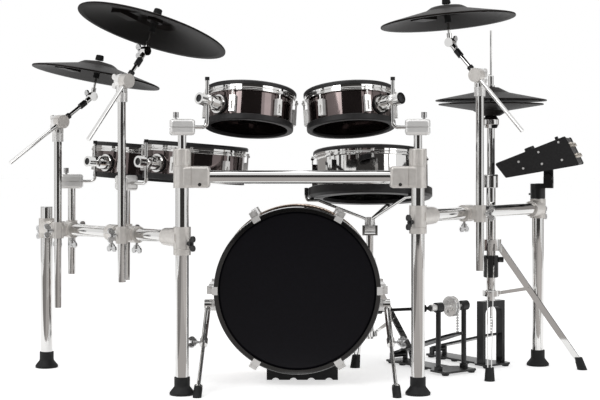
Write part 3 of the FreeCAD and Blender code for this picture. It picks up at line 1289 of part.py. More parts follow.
def footboard(toe_y, rise):
    """Footboard with its heel barrel, from the heel hinge to the toe."""
    toe = V(0, toe_y, HEEL_Z + rise)
    way = unit(toe - HEEL)
    length = (toe - HEEL).Length
    frame = frame_at(HEEL, way.cross(RIGHT), way)
    half = BOARD_W / 2
    lift = HEEL_BARREL_R - BOARD_T / 2
    plate = slab([(-10, -HEEL_HALF, 6), (30, -HEEL_HALF, 6), (60, -half, 14), (length - 30, -half + 6, 12),
                  (length, -20, 12), (length, 20, 12), (length - 30, half - 6, 12), (60, half, 14),
                  (30, HEEL_HALF, 6), (-10, HEEL_HALF, 6)], BOARD_T)
    plate.translate(V(0, 0, lift))
    for row in range(6):
        at = 70 + row * (length - 110) / 6
        plate = plate.cut(box(at, at + 9, -half + 20, half - 20, lift + BOARD_T - 2, lift + BOARD_T + 1))
    barrel = rod(HEEL - RIGHT * HEEL_HALF, HEEL + RIGHT * HEEL_HALF, HEEL_BARREL_R)
    board = joined([placed(plate, frame), barrel])
    board = board.cut(rod(HEEL - RIGHT * 60, HEEL + RIGHT * 60, HEEL_PIN_R + FIT))
    surface = frame.multVec(V(length - 12, 0, lift + BOARD_T))
    return board, surface


def chain(low, high):
    """Drive chain as a stack of links between two heights above a point."""
    pitch = CHAIN_T * 1.6
    count = int((high - low.z) / pitch)
    step = (high - low.z) / count
    parts = [box(low.x - CHAIN_W / 4, low.x + CHAIN_W / 4, low.y - CHAIN_T / 4, low.y + CHAIN_T / 4,
                 low.z, high)]
    for index in range(count):
        middle = V(low.x, low.y, low.z + step * (index + 0.5))
        parts.append(rod(middle - RIGHT * (CHAIN_W / 2), middle + RIGHT * (CHAIN_W / 2), CHAIN_T / 2))
    return joined(parts)


def cam_wheel():
    """Chain wheel with its two cheeks, on the X axis."""
    half = CAM_W / 2
    wheel = joined([rod(V(-half, 0, 0), V(half, 0, 0), CAM_R),
                    rod(V(-half - CAM_CHEEK, 0, 0), V(-half, 0, 0), CAM_CHEEK_R),
                    rod(V(half, 0, 0), V(half + CAM_CHEEK, 0, 0), CAM_CHEEK_R)])
    for index in range(5):
        hole = polar((CAM_R + AXLE_R) * 0.55, 72 * index)
        at = V(0, hole.x, hole.y)
        wheel = wheel.cut(rod(at - RIGHT * CAM_R, at + RIGHT * CAM_R, AXLE_R))
    return wheel


def pedal_posts(axle_z):
    """Two posts with bearing housings on the X axis at the axle's height."""
    posts = []
    for side in SIDES:
        at = V(side * POST_HALF, 0, 0)
        half = V(BEARING_L / 2, 0, 0)
        axle_at = at + V(0, 0, axle_z)
        post = joined([rod(at + V(0, 0, BASE_Z + BASE_T), axle_at, POST_R),
                       rod(at + V(0, 0, BASE_Z + BASE_T), at + V(0, 0, BASE_Z + BASE_T * 3), POST_R + 5),
                       rod(axle_at - half, axle_at + half, BEARING_R)])
        posts.append(post.cut(rod(axle_at - half * 2, axle_at + half * 2, AXLE_R + FIT)))
    return posts


def beater(x):
    """Beater with its hub on the axle, leaning back at rest; strikes along -Y."""
    way = V(0, math.sin(math.radians(BEATER_REST)), math.cos(math.radians(BEATER_REST)))
    face = V(0, -way.z, way.y)
    hub_half = V(BEATER_HUB_L / 2, 0, 0)
    at = V(x, 0, 0)
    stem = joined([rod(at - hub_half, at + hub_half, BEATER_HUB_R), rod(at, at + way * BEATER_L, BEATER_ROD_R)])
    head_at = at + way * BEATER_L
    head = turned([(0, -BEATER_HEAD_L / 2), (BEATER_R - 5, -BEATER_HEAD_L / 2, 5),
                   (BEATER_R, BEATER_HEAD_L / 2, 5), (0, BEATER_HEAD_L / 2)])
    head = placed(head, frame_at(head_at, face, RIGHT))
    return stem, head.cut(rod(at, at + way * BEATER_L, BEATER_ROD_R))


MAIN_AXLE = V(0, 0, MAIN_AXLE_Z)
SLAVE_AXLE = V(0, 0, SLAVE_AXLE_Z)
AXLE_OUT = POST_HALF + BEARING_L / 2 + GAP
SHAFT_MAIN = MAIN_FRAME.multVec(MAIN_AXLE + RIGHT * (AXLE_OUT + YOKE_L + JOINT_BALL_R))
SHAFT_SLAVE = SLAVE_FRAME.multVec(SLAVE_AXLE - RIGHT * (AXLE_OUT + YOKE_L + JOINT_BALL_R))


def yoke(side):
    """Yoke drum at the end of an axle, with a hollow for the joint's ball."""
    start = RIGHT * (side * AXLE_OUT)
    end = RIGHT * (side * (AXLE_OUT + YOKE_L + JOINT_BALL_R / 2))
    ball = RIGHT * (side * (AXLE_OUT + YOKE_L + JOINT_BALL_R))
    return rod(start, end, YOKE_R).cut(Part.makeSphere(JOINT_BALL_R + GAP, ball))


def drive_shaft():
    """Telescopic shaft with a ball at each universal joint."""
    way = unit(SHAFT_SLAVE - SHAFT_MAIN)
    clear = JOINT_BALL_R + YOKE_R * 0.6
    start = SHAFT_MAIN + way * clear
    end = SHAFT_SLAVE - way * clear
    middle = start + (end - start) * 0.5
    balls = [Part.makeSphere(JOINT_BALL_R, centre, way) for centre in (SHAFT_MAIN, SHAFT_SLAVE)]
    rods = [rod(SHAFT_MAIN, SHAFT_SLAVE, AXLE_R), rod(start, middle, SHAFT_R),
            rod(start, start + way * YOKE_L, YOKE_R), rod(end - way * YOKE_L, end, YOKE_R),
            rod(middle - way * YOKE_L, middle + way * YOKE_L, YOKE_R)]
    return [joined(balls + rods)]


def kick_pedal_nodes():
    """Main pedal under the bass drum and its slave at the hi-hat's side."""
    toe_y = -CHAIN_R - 8
    nodes = {"pedal_frames": []}
    for name, frame, axle_z in (("main", MAIN_FRAME, MAIN_AXLE_Z), ("slave", SLAVE_FRAME, SLAVE_AXLE_Z)):
        plate, studs = base_plate(BASE_FRONT, POST_HALF + POST_R + 6)
        nodes["pedal_frames"] += all_placed([plate] + studs + pedal_posts(axle_z), frame)
        board, surface = footboard(toe_y, BOARD_RISE)
        low = V(0, -CHAIN_R, surface.z)
        links = chain(low, axle_z + CAM_R / 2)
        links = max(links.cut(board).Solids, key=lambda solid: solid.Volume)
        nodes[name + "_footboard"] = all_placed([board, links], frame)
    lift = frame_at(MAIN_AXLE)
    stem, head = beater(-BEATER_X)
    axle_in = RIGHT * (BEATER_X / 4)
    out = RIGHT * (POST_HALF + BEARING_L / 2)
    main_axle = joined([rod(out * -1, axle_in, AXLE_R), stem, cam_wheel()])
    nodes["main_beater"] = all_placed(all_placed([main_axle, head], lift), MAIN_FRAME)
    stem, head = beater(BEATER_X)
    left_axle = joined([rod(axle_in + RIGHT * 2, RIGHT * (AXLE_OUT + 1), AXLE_R), stem, yoke(1)])
    nodes["left_beater"] = all_placed(all_placed([left_axle, head], lift), MAIN_FRAME)
    slave_axle = joined([rod(RIGHT * (-AXLE_OUT - 1), out, AXLE_R), cam_wheel(), yoke(-1)])
    nodes["slave_cam"] = all_placed([placed(slave_axle, frame_at(SLAVE_AXLE))], SLAVE_FRAME)
    nodes["drive_shaft"] = drive_shaft()
    return nodes


# Hi-hat

HIHAT_SEAT_Z = HIHAT_EDGE_Z - HIHAT_BOW - HIHAT_BELL_H


def hihat_bottom():
    """Inverted lower pad."""
    edge = HIHAT_BOTTOM_R
    top = HIHAT_EDGE_Z
    low = HIHAT_SEAT_Z
    return turned([(HIHAT_ROD_R * 3, low), (HIHAT_BELL_R * 0.5, low, 8), (HIHAT_BELL_R, top - HIHAT_BOW, 8),
                   (edge - 6, top - HIHAT_T + 1, 40), (edge, top - HIHAT_T + 2, 1), (edge, top, 1.5),
                   (edge - 14, top, 6), (HIHAT_BELL_R, top - HIHAT_BOW + HIHAT_T, 8),
                   (HIHAT_BELL_R * 0.5, low + HIHAT_T, 6), (HIHAT_ROD_R * 3, low + HIHAT_T)])


def hihat_top():
    """Upper pad, clamped by the clutch."""
    edge = HIHAT_TOP_R
    low = HIHAT_EDGE_Z + HIHAT_OPEN
    high = low + HIHAT_T + HIHAT_BOW + HIHAT_BELL_H
    bell = low + HIHAT_T + HIHAT_BOW
    bore = HIHAT_ROD_R + FIT
    return turned([(bore, high), (HIHAT_BELL_R * 0.42, high, 10), (HIHAT_BELL_R, bell, 8),
                   (edge - 8, low + HIHAT_T, 40), (edge, low + HIHAT_T - 2, 1.5), (edge, low, 1),
                   (edge - 14, low, 6), (HIHAT_BELL_R, bell - HIHAT_T, 8),
                   (HIHAT_BELL_R * 0.42, high - HIHAT_T, 6), (bore, high - HIHAT_T)])


def hihat_stand():
    """Tubes, seat, clamps, spring housing and two legs of the hi-hat stand, with its feet."""
    centre = V(0, 0, 0)
    join_z = HIHAT_CLAMP_Z
    lower = pipe(V(0, 0, FRAME_TOP_Z), V(0, 0, join_z), HIHAT_LOW_TUBE_R, HIHAT_LOW_TUBE_R - HIHAT_TUBE_R - FIT)
    upper = pipe(V(0, 0, join_z - HIHAT_CLAMP_H), V(0, 0, HIHAT_SEAT_Z - SEAT_UNIT_H), HIHAT_TUBE_R,
                 HIHAT_TUBE_WALL)
    seat_low = HIHAT_SEAT_Z - SEAT_UNIT_H
    bore = HIHAT_ROD_R + 1
    seat = turned([(bore, seat_low), (SEAT_UNIT_R - 6, seat_low, 2), (SEAT_UNIT_R, seat_low + 12, 3),
                   (SEAT_UNIT_R, HIHAT_SEAT_Z - 12, 3), (SEAT_UNIT_R - 8, HIHAT_SEAT_Z, 2),
                   (bore, HIHAT_SEAT_Z)])
    clamp = turned([(HIHAT_TUBE_R + FIT, join_z), (HIHAT_LOW_TUBE_R + 8, join_z, 2),
                    (HIHAT_LOW_TUBE_R + 8, join_z + HIHAT_CLAMP_H, 4),
                    (HIHAT_TUBE_R + FIT, join_z + HIHAT_CLAMP_H)])
    clamp_bolt = wing_bolt(V(0, HIHAT_LOW_TUBE_R + 8, join_z + HIHAT_CLAMP_H / 2), BACK)
    tube_bore = HIHAT_LOW_TUBE_R + FIT
    spring = turned([(tube_bore, SPRING_Z), (SPRING_R, SPRING_Z, 3), (SPRING_R, SPRING_Z + SPRING_H, 3),
                     (tube_bore, SPRING_Z + SPRING_H)])
    knob_z = SPRING_Z + SPRING_H - 14
    knobs = [rod(V(side * SPRING_R, 0, knob_z), V(side * (SPRING_R + 16), 0, knob_z),
                 9).cut(spring) for side in SIDES]
    outer = HIHAT_LOW_TUBE_R + LEG_W
    collars = [tube_collar(centre, HIHAT_COLLAR_Z, LEG_W * 2, HIHAT_LOW_TUBE_R, outer),
               tube_collar(centre, HIHAT_LOW_COLLAR_Z, LEG_W, HIHAT_LOW_TUBE_R, outer - 4)]
    legs = []
    feet = []
    for angle in (HIHAT_FOOT_1, HIHAT_FOOT_2):
        leg = tripod_leg(centre, HIHAT_FOOT_REACH, angle, HIHAT_COLLAR_Z, HIHAT_LOW_COLLAR_Z, HIHAT_LOW_TUBE_R,
                         HIHAT_STRUT_AT)
        feet.append(small_foot(centre, HIHAT_FOOT_REACH, angle).cut(leg))
        legs.append(leg.cut(lower))
    place = frame_at(V(HIHAT_X, HIHAT_Y, 0))
    solids = [lower, upper, seat, clamp, clamp_bolt, joined(legs + collars)]
    return all_placed(solids, place), all_placed([spring] + knobs, place), all_placed(feet, place)


def hihat_frame():
    """Inverted-U pedal frame with its base plate, in the pedal's own frame."""
    top = BASE_Z + BASE_T
    plate, studs = base_plate(BASE_FRONT - 10, FRAME_HALF + FRAME_T + 6)
    arch = box(-FRAME_HALF - FRAME_T, FRAME_HALF + FRAME_T, -FRAME_D / 2, FRAME_D / 2, top, FRAME_TOP_Z)
    hollow = slab([(-FRAME_HALF, top - 1), (FRAME_HALF, top - 1), (FRAME_HALF, FRAME_TOP_Z - 18, 24),
                   (-FRAME_HALF, FRAME_TOP_Z - 18, 24)], FRAME_D * 2)
    hollow = placed(hollow, frame_at(V(0, FRAME_D, 0), V(0, -1, 0)))
    arch = arch.cut(hollow).cut(rod(V(0, 0, top), V(0, 0, FRAME_TOP_Z + 1), HIHAT_ROD_R + 1))
    return [plate, arch] + studs


def hihat_nodes():
    """Hi-hat stand, pads, rod and pedal."""
    stand, housing, feet = hihat_stand()
    axis = frame_at(V(HIHAT_X, HIHAT_Y, 0))
    board, surface = footboard(HIHAT_CHAIN_Y - 10, HIHAT_BOARD_RISE)
    clear = surface.z + 0.6
    rod_low = FRAME_TOP_Z - 50
    links = chain(V(0, 0, clear), rod_low)
    top_face = HIHAT_EDGE_Z + HIHAT_OPEN + HIHAT_T + HIHAT_BOW + HIHAT_BELL_H
    pull = rod(V(0, 0, rod_low), V(0, 0, HIHAT_ROD_TOP), HIHAT_ROD_R)
    bore = HIHAT_ROD_R + FIT
    clutch = turned([(bore, top_face), (CLUTCH_R + 4, top_face, 2), (CLUTCH_R + 4, top_face + 6),
                     (CLUTCH_R, top_face + 8), (CLUTCH_R, top_face + CLUTCH_H, 3), (bore, top_face + CLUTCH_H)])
    washer_top = top_face - HIHAT_T
    washer = turned([(bore, washer_top - 6), (CLUTCH_R + 2, washer_top - 6, 1), (CLUTCH_R + 2, washer_top),
                     (bore, washer_top)])
    bolt = wing_bolt(V(0, CLUTCH_R, top_face + CLUTCH_H * 0.7), BACK)
    return {
        "hihat_stand": stand,
        "hihat_bottom": [placed(hihat_bottom(), axis)],
        "hihat_top": [placed(hihat_top(), axis)],
        "hihat_rod": all_placed([pull, clutch, washer, bolt], axis) + [placed(links, HIHAT_FRAME)],
        "hihat_footboard": [placed(board, HIHAT_FRAME)],
        "hihat_pedal_frame": all_placed(hihat_frame(), HIHAT_FRAME) + housing,
    }, feet


# Sound module

MODULE_LENGTH_DIR = V(math.cos(math.radians(MODULE_YAW)), -math.sin(math.radians(MODULE_YAW)), 0)
MODULE_WIDTH_DIR = V(-MODULE_LENGTH_DIR.y, MODULE_LENGTH_DIR.x, 0)
MODULE_FRAME = frame_at(V(MODULE_X, MODULE_Y, MODULE_Z), UP, MODULE_LENGTH_DIR)
PANEL_DIR = V(math.cos(math.radians(MODULE_SLOPE)), 0, math.sin(math.radians(MODULE_SLOPE)))
PANEL_NORMAL = V(-PANEL_DIR.z, 0, PANEL_DIR.x)
TILT_POINT = MODULE_FRAME.multVec(V(TILT_ALONG, TILT_ACROSS, TILT_Z - MODULE_Z))


def module_profile(lip):
    """Side outline of the module, grown by a lip."""
    top_end = PANEL_DIR * MODULE_TOP_L
    return [(-lip, 0, MODULE_ROUND), (MODULE_FRONT_IN, -MODULE_FRONT_H - lip, MODULE_ROUND),
            (top_end.x + MODULE_BACK_OUT + lip, top_end.z - MODULE_BACK_H - lip, MODULE_ROUND),
            (top_end.x + lip, top_end.z + lip, MODULE_ROUND)]


def module_prism(lip, start, width):
    """The module's side outline, carried along its width."""
    body = outline(module_profile(lip)).extrude(V(0, width, 0))
    body.translate(V(0, start, 0))
    return body


def panel_frame(along, across):
    """Frame on the sloping panel: z out of the panel."""
    return frame_at(PANEL_DIR * along + V(0, across, 0), PANEL_NORMAL, PANEL_DIR)


def module_nodes():
    """Case, cheeks, jacks, dial and knob of the sound module, and its mount."""
    block = module_prism(0, CHEEK_T, MODULE_W - 2 * CHEEK_T)
    case = block.cut(module_prism(-CASE_WALL, CHEEK_T + CASE_WALL, MODULE_W - 2 * (CHEEK_T + CASE_WALL)))
    lug_z = TILT_Z - MODULE_Z
    half = TILT_LUG_HALF
    pin_at = V(TILT_ALONG, TILT_ACROSS, lug_z)
    lug = joined([rod(pin_at - BACK * half, pin_at + BACK * half, TILT_R),
                  box(TILT_ALONG - TILT_R, TILT_ALONG + TILT_R, TILT_ACROSS - half, TILT_ACROSS + half,
                      lug_z, lug_z + TILT_R * 3)])
    lug = lug.cut(block)
    lug = min(lug.Solids, key=lambda solid: solid.CenterOfMass.z)
    lug = lug.cut(rod(pin_at - BACK * 50, pin_at + BACK * 50, TILT_PIN_R + FIT))
    screen = box(0, SCREEN_L, -SCREEN_W / 2, SCREEN_W / 2, 0, SCREEN_T)
    screen = placed(screen, panel_frame(MODULE_TOP_L * 0.52, MODULE_W * 0.55))
    cheeks = [module_prism(CHEEK_LIP, 0, CHEEK_T), module_prism(CHEEK_LIP, MODULE_W - CHEEK_T, CHEEK_T)]
    screws = []
    top_end = PANEL_DIR * MODULE_TOP_L
    for along, rise in ((0.22, 0.24), (0.56, 0.16), (0.9, 0.1), (0.3, 0.72), (0.62, 0.76), (0.96, 0.82)):
        top_z = top_end.z * along
        low_z = -MODULE_FRONT_H + (top_end.z - MODULE_BACK_H + MODULE_FRONT_H) * along
        at = V(MODULE_FRONT_IN + (top_end.x - MODULE_FRONT_IN) * along, 0, top_z + (low_z - top_z) * rise)
        screws.append(rod(at, at - BACK * SCREW_T, SCREW_R))
        far = at + BACK * MODULE_W
        screws.append(rod(far, far + BACK * SCREW_T, SCREW_R))
    back_top = top_end
    back_low = V(top_end.x + MODULE_BACK_OUT, 0, top_end.z - MODULE_BACK_H)
    back_out = unit(V(back_top.z - back_low.z, 0, back_low.x - back_top.x))
    jacks = []
    for row in (0.3, 0.7):
        for index in range(MODULE_JACKS):
            across = MODULE_W * (index + 0.7) / (MODULE_JACKS + 0.4)
            at = back_top + (back_low - back_top) * row + V(0, across, 0)
            jacks.append(rod(at, at + back_out * MODULE_JACK_L, MODULE_JACK_R)
                         .cut(rod(at, at + back_out * (MODULE_JACK_L + 1), MODULE_JACK_BORE)))
    dial = turned([(0, GAP), (DIAL_R, GAP, 1), (DIAL_R - 1.5, DIAL_H, 2), (0, DIAL_H)])
    for index in range(24):
        notch = polar(DIAL_R + 0.4, 15 * index)
        dial = dial.cut(rod(notch, notch + V(0, 0, DIAL_H), 1))
    dial = placed(dial, panel_frame(DIAL_ALONG, MODULE_W * 0.28))
    knob = turned([(0, GAP), (KNOB_R, GAP, 0.8), (KNOB_R - 0.8, KNOB_H, 1), (0, KNOB_H)])
    knob = knob.cut(box(-0.7, 0.7, 0, KNOB_R, KNOB_H - 1, KNOB_H + 1))
    knob = placed(knob, panel_frame(KNOB_ALONG, KNOB_IN))
    return {"module_case": all_placed([case, lug, screen] + cheeks + screws + jacks, MODULE_FRAME),
            "module_dial": [placed(dial, MODULE_FRAME)],
            "module_knob": [placed(knob, MODULE_FRAME)],
            "module_mount": module_mount()}


def module_mount():
    """Clamp on the right rear leg with the ears and pin of the module's tilt joint."""
    leg = RIGHT_REAR
    low = RIGHT_LEG_TOP - MOUNT_SKIRT
    body = rod(leg + V(0, 0, low), leg + V(0, 0, MOUNT_TOP_Z), MOUNT_R)
    body = body.cut(rod(leg + V(0, 0, low - 1), leg + V(0, 0, RIGHT_LEG_TOP), TUBE_R + FIT))
    frame = frame_at(TILT_POINT, UP, MODULE_LENGTH_DIR)
    inner = TILT_LUG_HALF + GAP
    ears = []
    shelf = MOUNT_TOP_Z - TILT_Z
    for side in SIDES:
        near = BACK * (side * inner)
        far = BACK * (side * (inner + TILT_EAR_T))
        ears.append(rod(near, far, TILT_R))
        ears.append(box(-TILT_R, TILT_R, min(near.y, far.y), max(near.y, far.y), shelf - 14, 0))
    ears.append(box(-TILT_R - 26, TILT_R, -inner - TILT_EAR_T, inner + TILT_EAR_T, shelf - 14, shelf + 1))
    ears.append(rod(BACK * -(inner + TILT_EAR_T), BACK * (inner + TILT_EAR_T), TILT_PIN_R))
    knob_at = BACK * -(inner + TILT_EAR_T)
    knob = rod(knob_at, knob_at - BACK * 18, TILT_R - 3)
    body = joined([body] + all_placed(ears, frame))
    body = body.cut(rod(leg + V(0, 0, low - 1), leg + V(0, 0, RIGHT_LEG_TOP), TUBE_R + FIT))
    bolt_at = leg + V(0, MOUNT_R, low + MOUNT_SKIRT / 2)
    bolt = wing_bolt(bolt_at, BACK, RIGHT).cut(body)
    return [body, placed(knob, frame), bolt]


# The whole kit

def kit_nodes():
    """Every node of the kit with its solids, in the layout's frame."""
    nodes = {}
    nodes.update(rack_nodes())
    nodes.update(cymbal_nodes())
    nodes.update(tom_nodes())
    for kind, solids in snare_pad().items():
        nodes["snare_" + kind] = all_placed(solids, SNARE_FRAME)
    nodes["snare_basket"] = snare_basket()
    nodes["snare_stand"], snare_feet = snare_stand()
    for name, solids in bass_solids().items():
        nodes[name] = all_placed(solids, BASS_FRAME)
    for side, name in zip(SIDES, ("left_spur", "right_spur")):
        nodes["bass_hardware"].append(spur_boss(side))
        nodes[name] = spur(side)
    nodes.update(kick_pedal_nodes())
    hihat, hihat_feet = hihat_nodes()
    nodes.update(hihat)
    nodes["rubber_feet"] += [riser()] + snare_feet + hihat_feet
    nodes.update(module_nodes())
    return nodes


NODES = kit_nodes()
WHOLE = Part.makeCompound([shape for solids in NODES.values() for shape in solids])
WHOLE = WHOLE.optimalBoundingBox(False, False)
SHIFT = V(-WHOLE.Center.x, -WHOLE.Center.y, -WHOLE.ZMin)

os.makedirs("parts", exist_ok=True)
for node, solids in NODES.items():
    group = Part.makeCompound(solids)
    group.translate(SHIFT)
    group.exportStep("parts/" + node + ".step")
    print(node, len(solids), "solids", round(sum(solid.Volume for solid in solids)), "mm3")
print("box", round(WHOLE.XLength), round(WHOLE.YLength), round(WHOLE.ZLength), "nodes", len(NODES))
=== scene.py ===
import json
import math

import bmesh
import bpy
from mathutils import Matrix, Vector


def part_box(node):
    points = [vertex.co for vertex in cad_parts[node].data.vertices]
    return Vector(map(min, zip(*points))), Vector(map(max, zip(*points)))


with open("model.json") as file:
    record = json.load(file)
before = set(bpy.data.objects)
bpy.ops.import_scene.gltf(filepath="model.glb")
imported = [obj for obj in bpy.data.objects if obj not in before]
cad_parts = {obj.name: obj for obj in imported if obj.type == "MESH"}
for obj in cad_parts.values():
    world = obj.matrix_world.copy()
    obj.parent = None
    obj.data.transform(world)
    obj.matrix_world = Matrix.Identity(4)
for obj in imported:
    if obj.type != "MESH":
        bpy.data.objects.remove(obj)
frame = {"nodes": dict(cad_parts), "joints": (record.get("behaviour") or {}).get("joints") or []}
NODES = frame["nodes"]
JOINTS = {joint["name"]: joint for joint in frame["joints"]}
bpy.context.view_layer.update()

# The photograph's view, from the middle of the front legs
CAMERA_BACK = 4.0
CAMERA_HEIGHT = 0.697
FOCAL_PX = 1403.5
IMAGE_W = 600
IMAGE_H = 400
HORIZON_ROW = 150
SENSOR_MM = 36.0

WORLD_LIGHT = 0.40
FLOOR_LIFT = 0.6

legs_low, legs_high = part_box("front_tubes")
STAGE = Vector(((legs_low[0] + legs_high[0]) / 2, (legs_low[1] + legs_high[1]) / 2, 0.0))


# Materials

def new_material(name):
    """Empty node material with its output and principled shader."""
    material = bpy.data.materials.new(name)
    material.use_nodes = True
    nodes = material.node_tree.nodes
    return material, nodes, material.node_tree.links, nodes["Principled BSDF"]


def coordinates(nodes, links, scale, place=None):
    """Object coordinates, moved into a local frame if one is given, then scaled."""
    source = nodes.new("ShaderNodeTexCoord")
    socket = source.outputs["Object"]
    if place is not None:
        local = nodes.new("ShaderNodeMapping")
        local.vector_type = "TEXTURE"
        local.inputs["Location"].default_value = place.to_translation()
        local.inputs["Rotation"].default_value = place.to_euler()
        links.new(socket, local.inputs["Vector"])
        socket = local.outputs["Vector"]
    mapping = nodes.new("ShaderNodeMapping")
    mapping.inputs["Scale"].default_value = scale
    links.new(socket, mapping.inputs["Vector"])
    return mapping.outputs["Vector"]


def noise(nodes, links, vector, scale, detail=3.0):
    """Noise texture's factor."""
    texture = nodes.new("ShaderNodeTexNoise")
    texture.inputs["Scale"].default_value = scale
    texture.inputs["Detail"].default_value = detail
    links.new(vector, texture.inputs["Vector"])
    return texture.outputs["Fac"]


def ramp(nodes, links, factor, stops):
    """Colour ramp of (position, colour) stops."""
    node = nodes.new("ShaderNodeValToRGB")
    elements = node.color_ramp.elements
    for position, colour in stops[2:]:
        elements.new(position)
    for element, (position, colour) in zip(elements, stops):
        element.position = position
        element.color = (*colour, 1.0)
    links.new(factor, node.inputs["Fac"])
    return node.outputs["Color"]


def spread(nodes, links, factor, low, high):
    """A factor spread over a range of values."""
    node = nodes.new("ShaderNodeMapRange")
    node.inputs["To Min"].default_value = low
    node.inputs["To Max"].default_value = high
    links.new(factor, node.inputs["Value"])
    return node.outputs["Result"]


def bump(nodes, links, shader, height, strength, distance):
    """Bump from a height."""
    node = nodes.new("ShaderNodeBump")
    node.inputs["Strength"].default_value = strength
    node.inputs["Distance"].default_value = distance
    links.new(height, node.inputs["Height"])
    links.new(node.outputs["Normal"], shader.inputs["Normal"])


PATCHES_COARSER = 12.0
PATCH_DETAIL = 2.0
GRAIN_DETAIL = 4.0
TONE_STOPS = (0.3, 0.7)
COAT_ROUGHNESS = 0.05


def surface(name, dark, light, rough, metallic=0.0, grain=400.0, bumpiness=0.1, depth=0.0004, coat=0.0,
            stretch=(1.0, 1.0, 1.0), specular=0.5):
    """Surface with grained colour, roughness and fine bump."""
    material, nodes, links, shader = new_material(name)
    vector = coordinates(nodes, links, stretch)
    patches = noise(nodes, links, vector, grain / PATCHES_COARSER, PATCH_DETAIL)
    fine = noise(nodes, links, vector, grain, GRAIN_DETAIL)
    colour = ramp(nodes, links, patches, list(zip(TONE_STOPS, (dark, light))))
    links.new(colour, shader.inputs["Base Color"])
    links.new(spread(nodes, links, fine, rough[0], rough[1]), shader.inputs["Roughness"])
    shader.inputs["Metallic"].default_value = metallic
    shader.inputs["Coat Weight"].default_value = coat
    shader.inputs["Coat Roughness"].default_value = COAT_ROUGHNESS
    shader.inputs["Specular IOR Level"].default_value = specular
    bump(nodes, links, shader, fine, bumpiness, depth)
    return material


CHROME = surface("chrome_plate", (0.66, 0.655, 0.645), (0.74, 0.735, 0.725), (0.03, 0.065),
                 metallic=1.0, grain=60.0, bumpiness=0.02, depth=0.0002)
SATIN = surface("satin_casting", (0.70, 0.67, 0.635), (0.78, 0.75, 0.715), (0.26, 0.36),
                metallic=0.40, grain=900.0, bumpiness=0.08, depth=0.0002)
BRIGHT = surface("bright_casting", (0.89, 0.88, 0.865), (0.96, 0.95, 0.935), (0.16, 0.24),
                 metallic=0.38, grain=500.0, bumpiness=0.05, depth=0.0002)
STEEL = surface("brushed_steel", (0.50, 0.50, 0.50), (0.62, 0.62, 0.62), (0.20, 0.32),
                metallic=1.0, grain=300.0, bumpiness=0.05, depth=0.0002, stretch=(1.0, 1.0, 8.0))
RUBBER = surface("black_rubber", (0.008, 0.008, 0.0085), (0.015, 0.015, 0.0155), (0.50, 0.66),
                 grain=700.0, bumpiness=0.12, depth=0.0004, specular=0.3)
RIM_RUBBER = surface("rim_rubber", (0.009, 0.0085, 0.009), (0.017, 0.016, 0.0165), (0.42, 0.55),
                     grain=800.0, bumpiness=0.1, depth=0.0003, specular=0.35)
BLACK_PAINT = surface("black_paint", (0.006, 0.006, 0.0065), (0.012, 0.012, 0.0125), (0.30, 0.40),
                      grain=1200.0, bumpiness=0.08, depth=0.0002, coat=0.1, specular=0.4)
BLACK_PLASTIC = surface("black_plastic", (0.010, 0.010, 0.0105), (0.018, 0.018, 0.0185), (0.38, 0.48),
                        grain=1500.0, bumpiness=0.1, depth=0.0002, specular=0.4)
MODULE_PLASTIC = surface("module_plastic", (0.011, 0.0105, 0.0115), (0.018, 0.0175, 0.0185), (0.42, 0.52),
                         grain=2200.0, bumpiness=0.16, depth=0.0002, specular=0.35)
FOAM = surface("grey_foam", (0.05, 0.05, 0.05), (0.09, 0.09, 0.09), (0.9, 1.0),
               grain=500.0, bumpiness=0.6, depth=0.001)
FELT = surface("dark_felt", (0.010, 0.010, 0.010), (0.028, 0.028, 0.028), (0.85, 1.0),
               grain=900.0, bumpiness=0.5, depth=0.0008, specular=0.2)
WHITE_FELT = surface("beater_felt", (0.55, 0.53, 0.50), (0.72, 0.70, 0.66), (0.9, 1.0),
                     grain=900.0, bumpiness=0.5, depth=0.0008)
GLOSS_BLACK = surface("gloss_black", (0.004, 0.004, 0.004), (0.009, 0.008, 0.008), (0.06, 0.10),
                      grain=80.0, bumpiness=0.03, depth=0.0003, coat=0.6)
CHAMPAGNE = surface("champagne_metal", (0.50, 0.46, 0.40), (0.60, 0.555, 0.50), (0.22, 0.30),
                    metallic=0.55, grain=120.0, bumpiness=0.03, depth=0.0003)
BRONZE = surface("bronze_hoop", (0.40, 0.31, 0.25), (0.52, 0.42, 0.35), (0.16, 0.26),
                 metallic=0.9, grain=120.0, bumpiness=0.03, depth=0.0003, coat=0.5)
BLACK_CHROME = surface("black_chrome_shell", (0.095, 0.074, 0.072), (0.14, 0.112, 0.110), (0.04, 0.08),
                       metallic=0.95, grain=140.0, bumpiness=0.03, depth=0.0003, coat=0.3)
HEAD_FILM = surface("bass_film", (0.0024, 0.0022, 0.0042), (0.0040, 0.0037, 0.0066), (0.26, 0.34),
                    grain=1500.0, bumpiness=0.05, depth=0.0002, specular=0.22)
SCREEN = surface("screen_glass", (0.004, 0.006, 0.008), (0.008, 0.011, 0.013), (0.04, 0.07),
                 grain=50.0, bumpiness=0.0, depth=0.0001, coat=0.6)


WEAVE_STOPS = (0.3, 0.9)
WEAVE_ROUGHNESS = 0.7
WEAVE_BUMP = 0.35
WEAVE_DEPTH = 0.0006


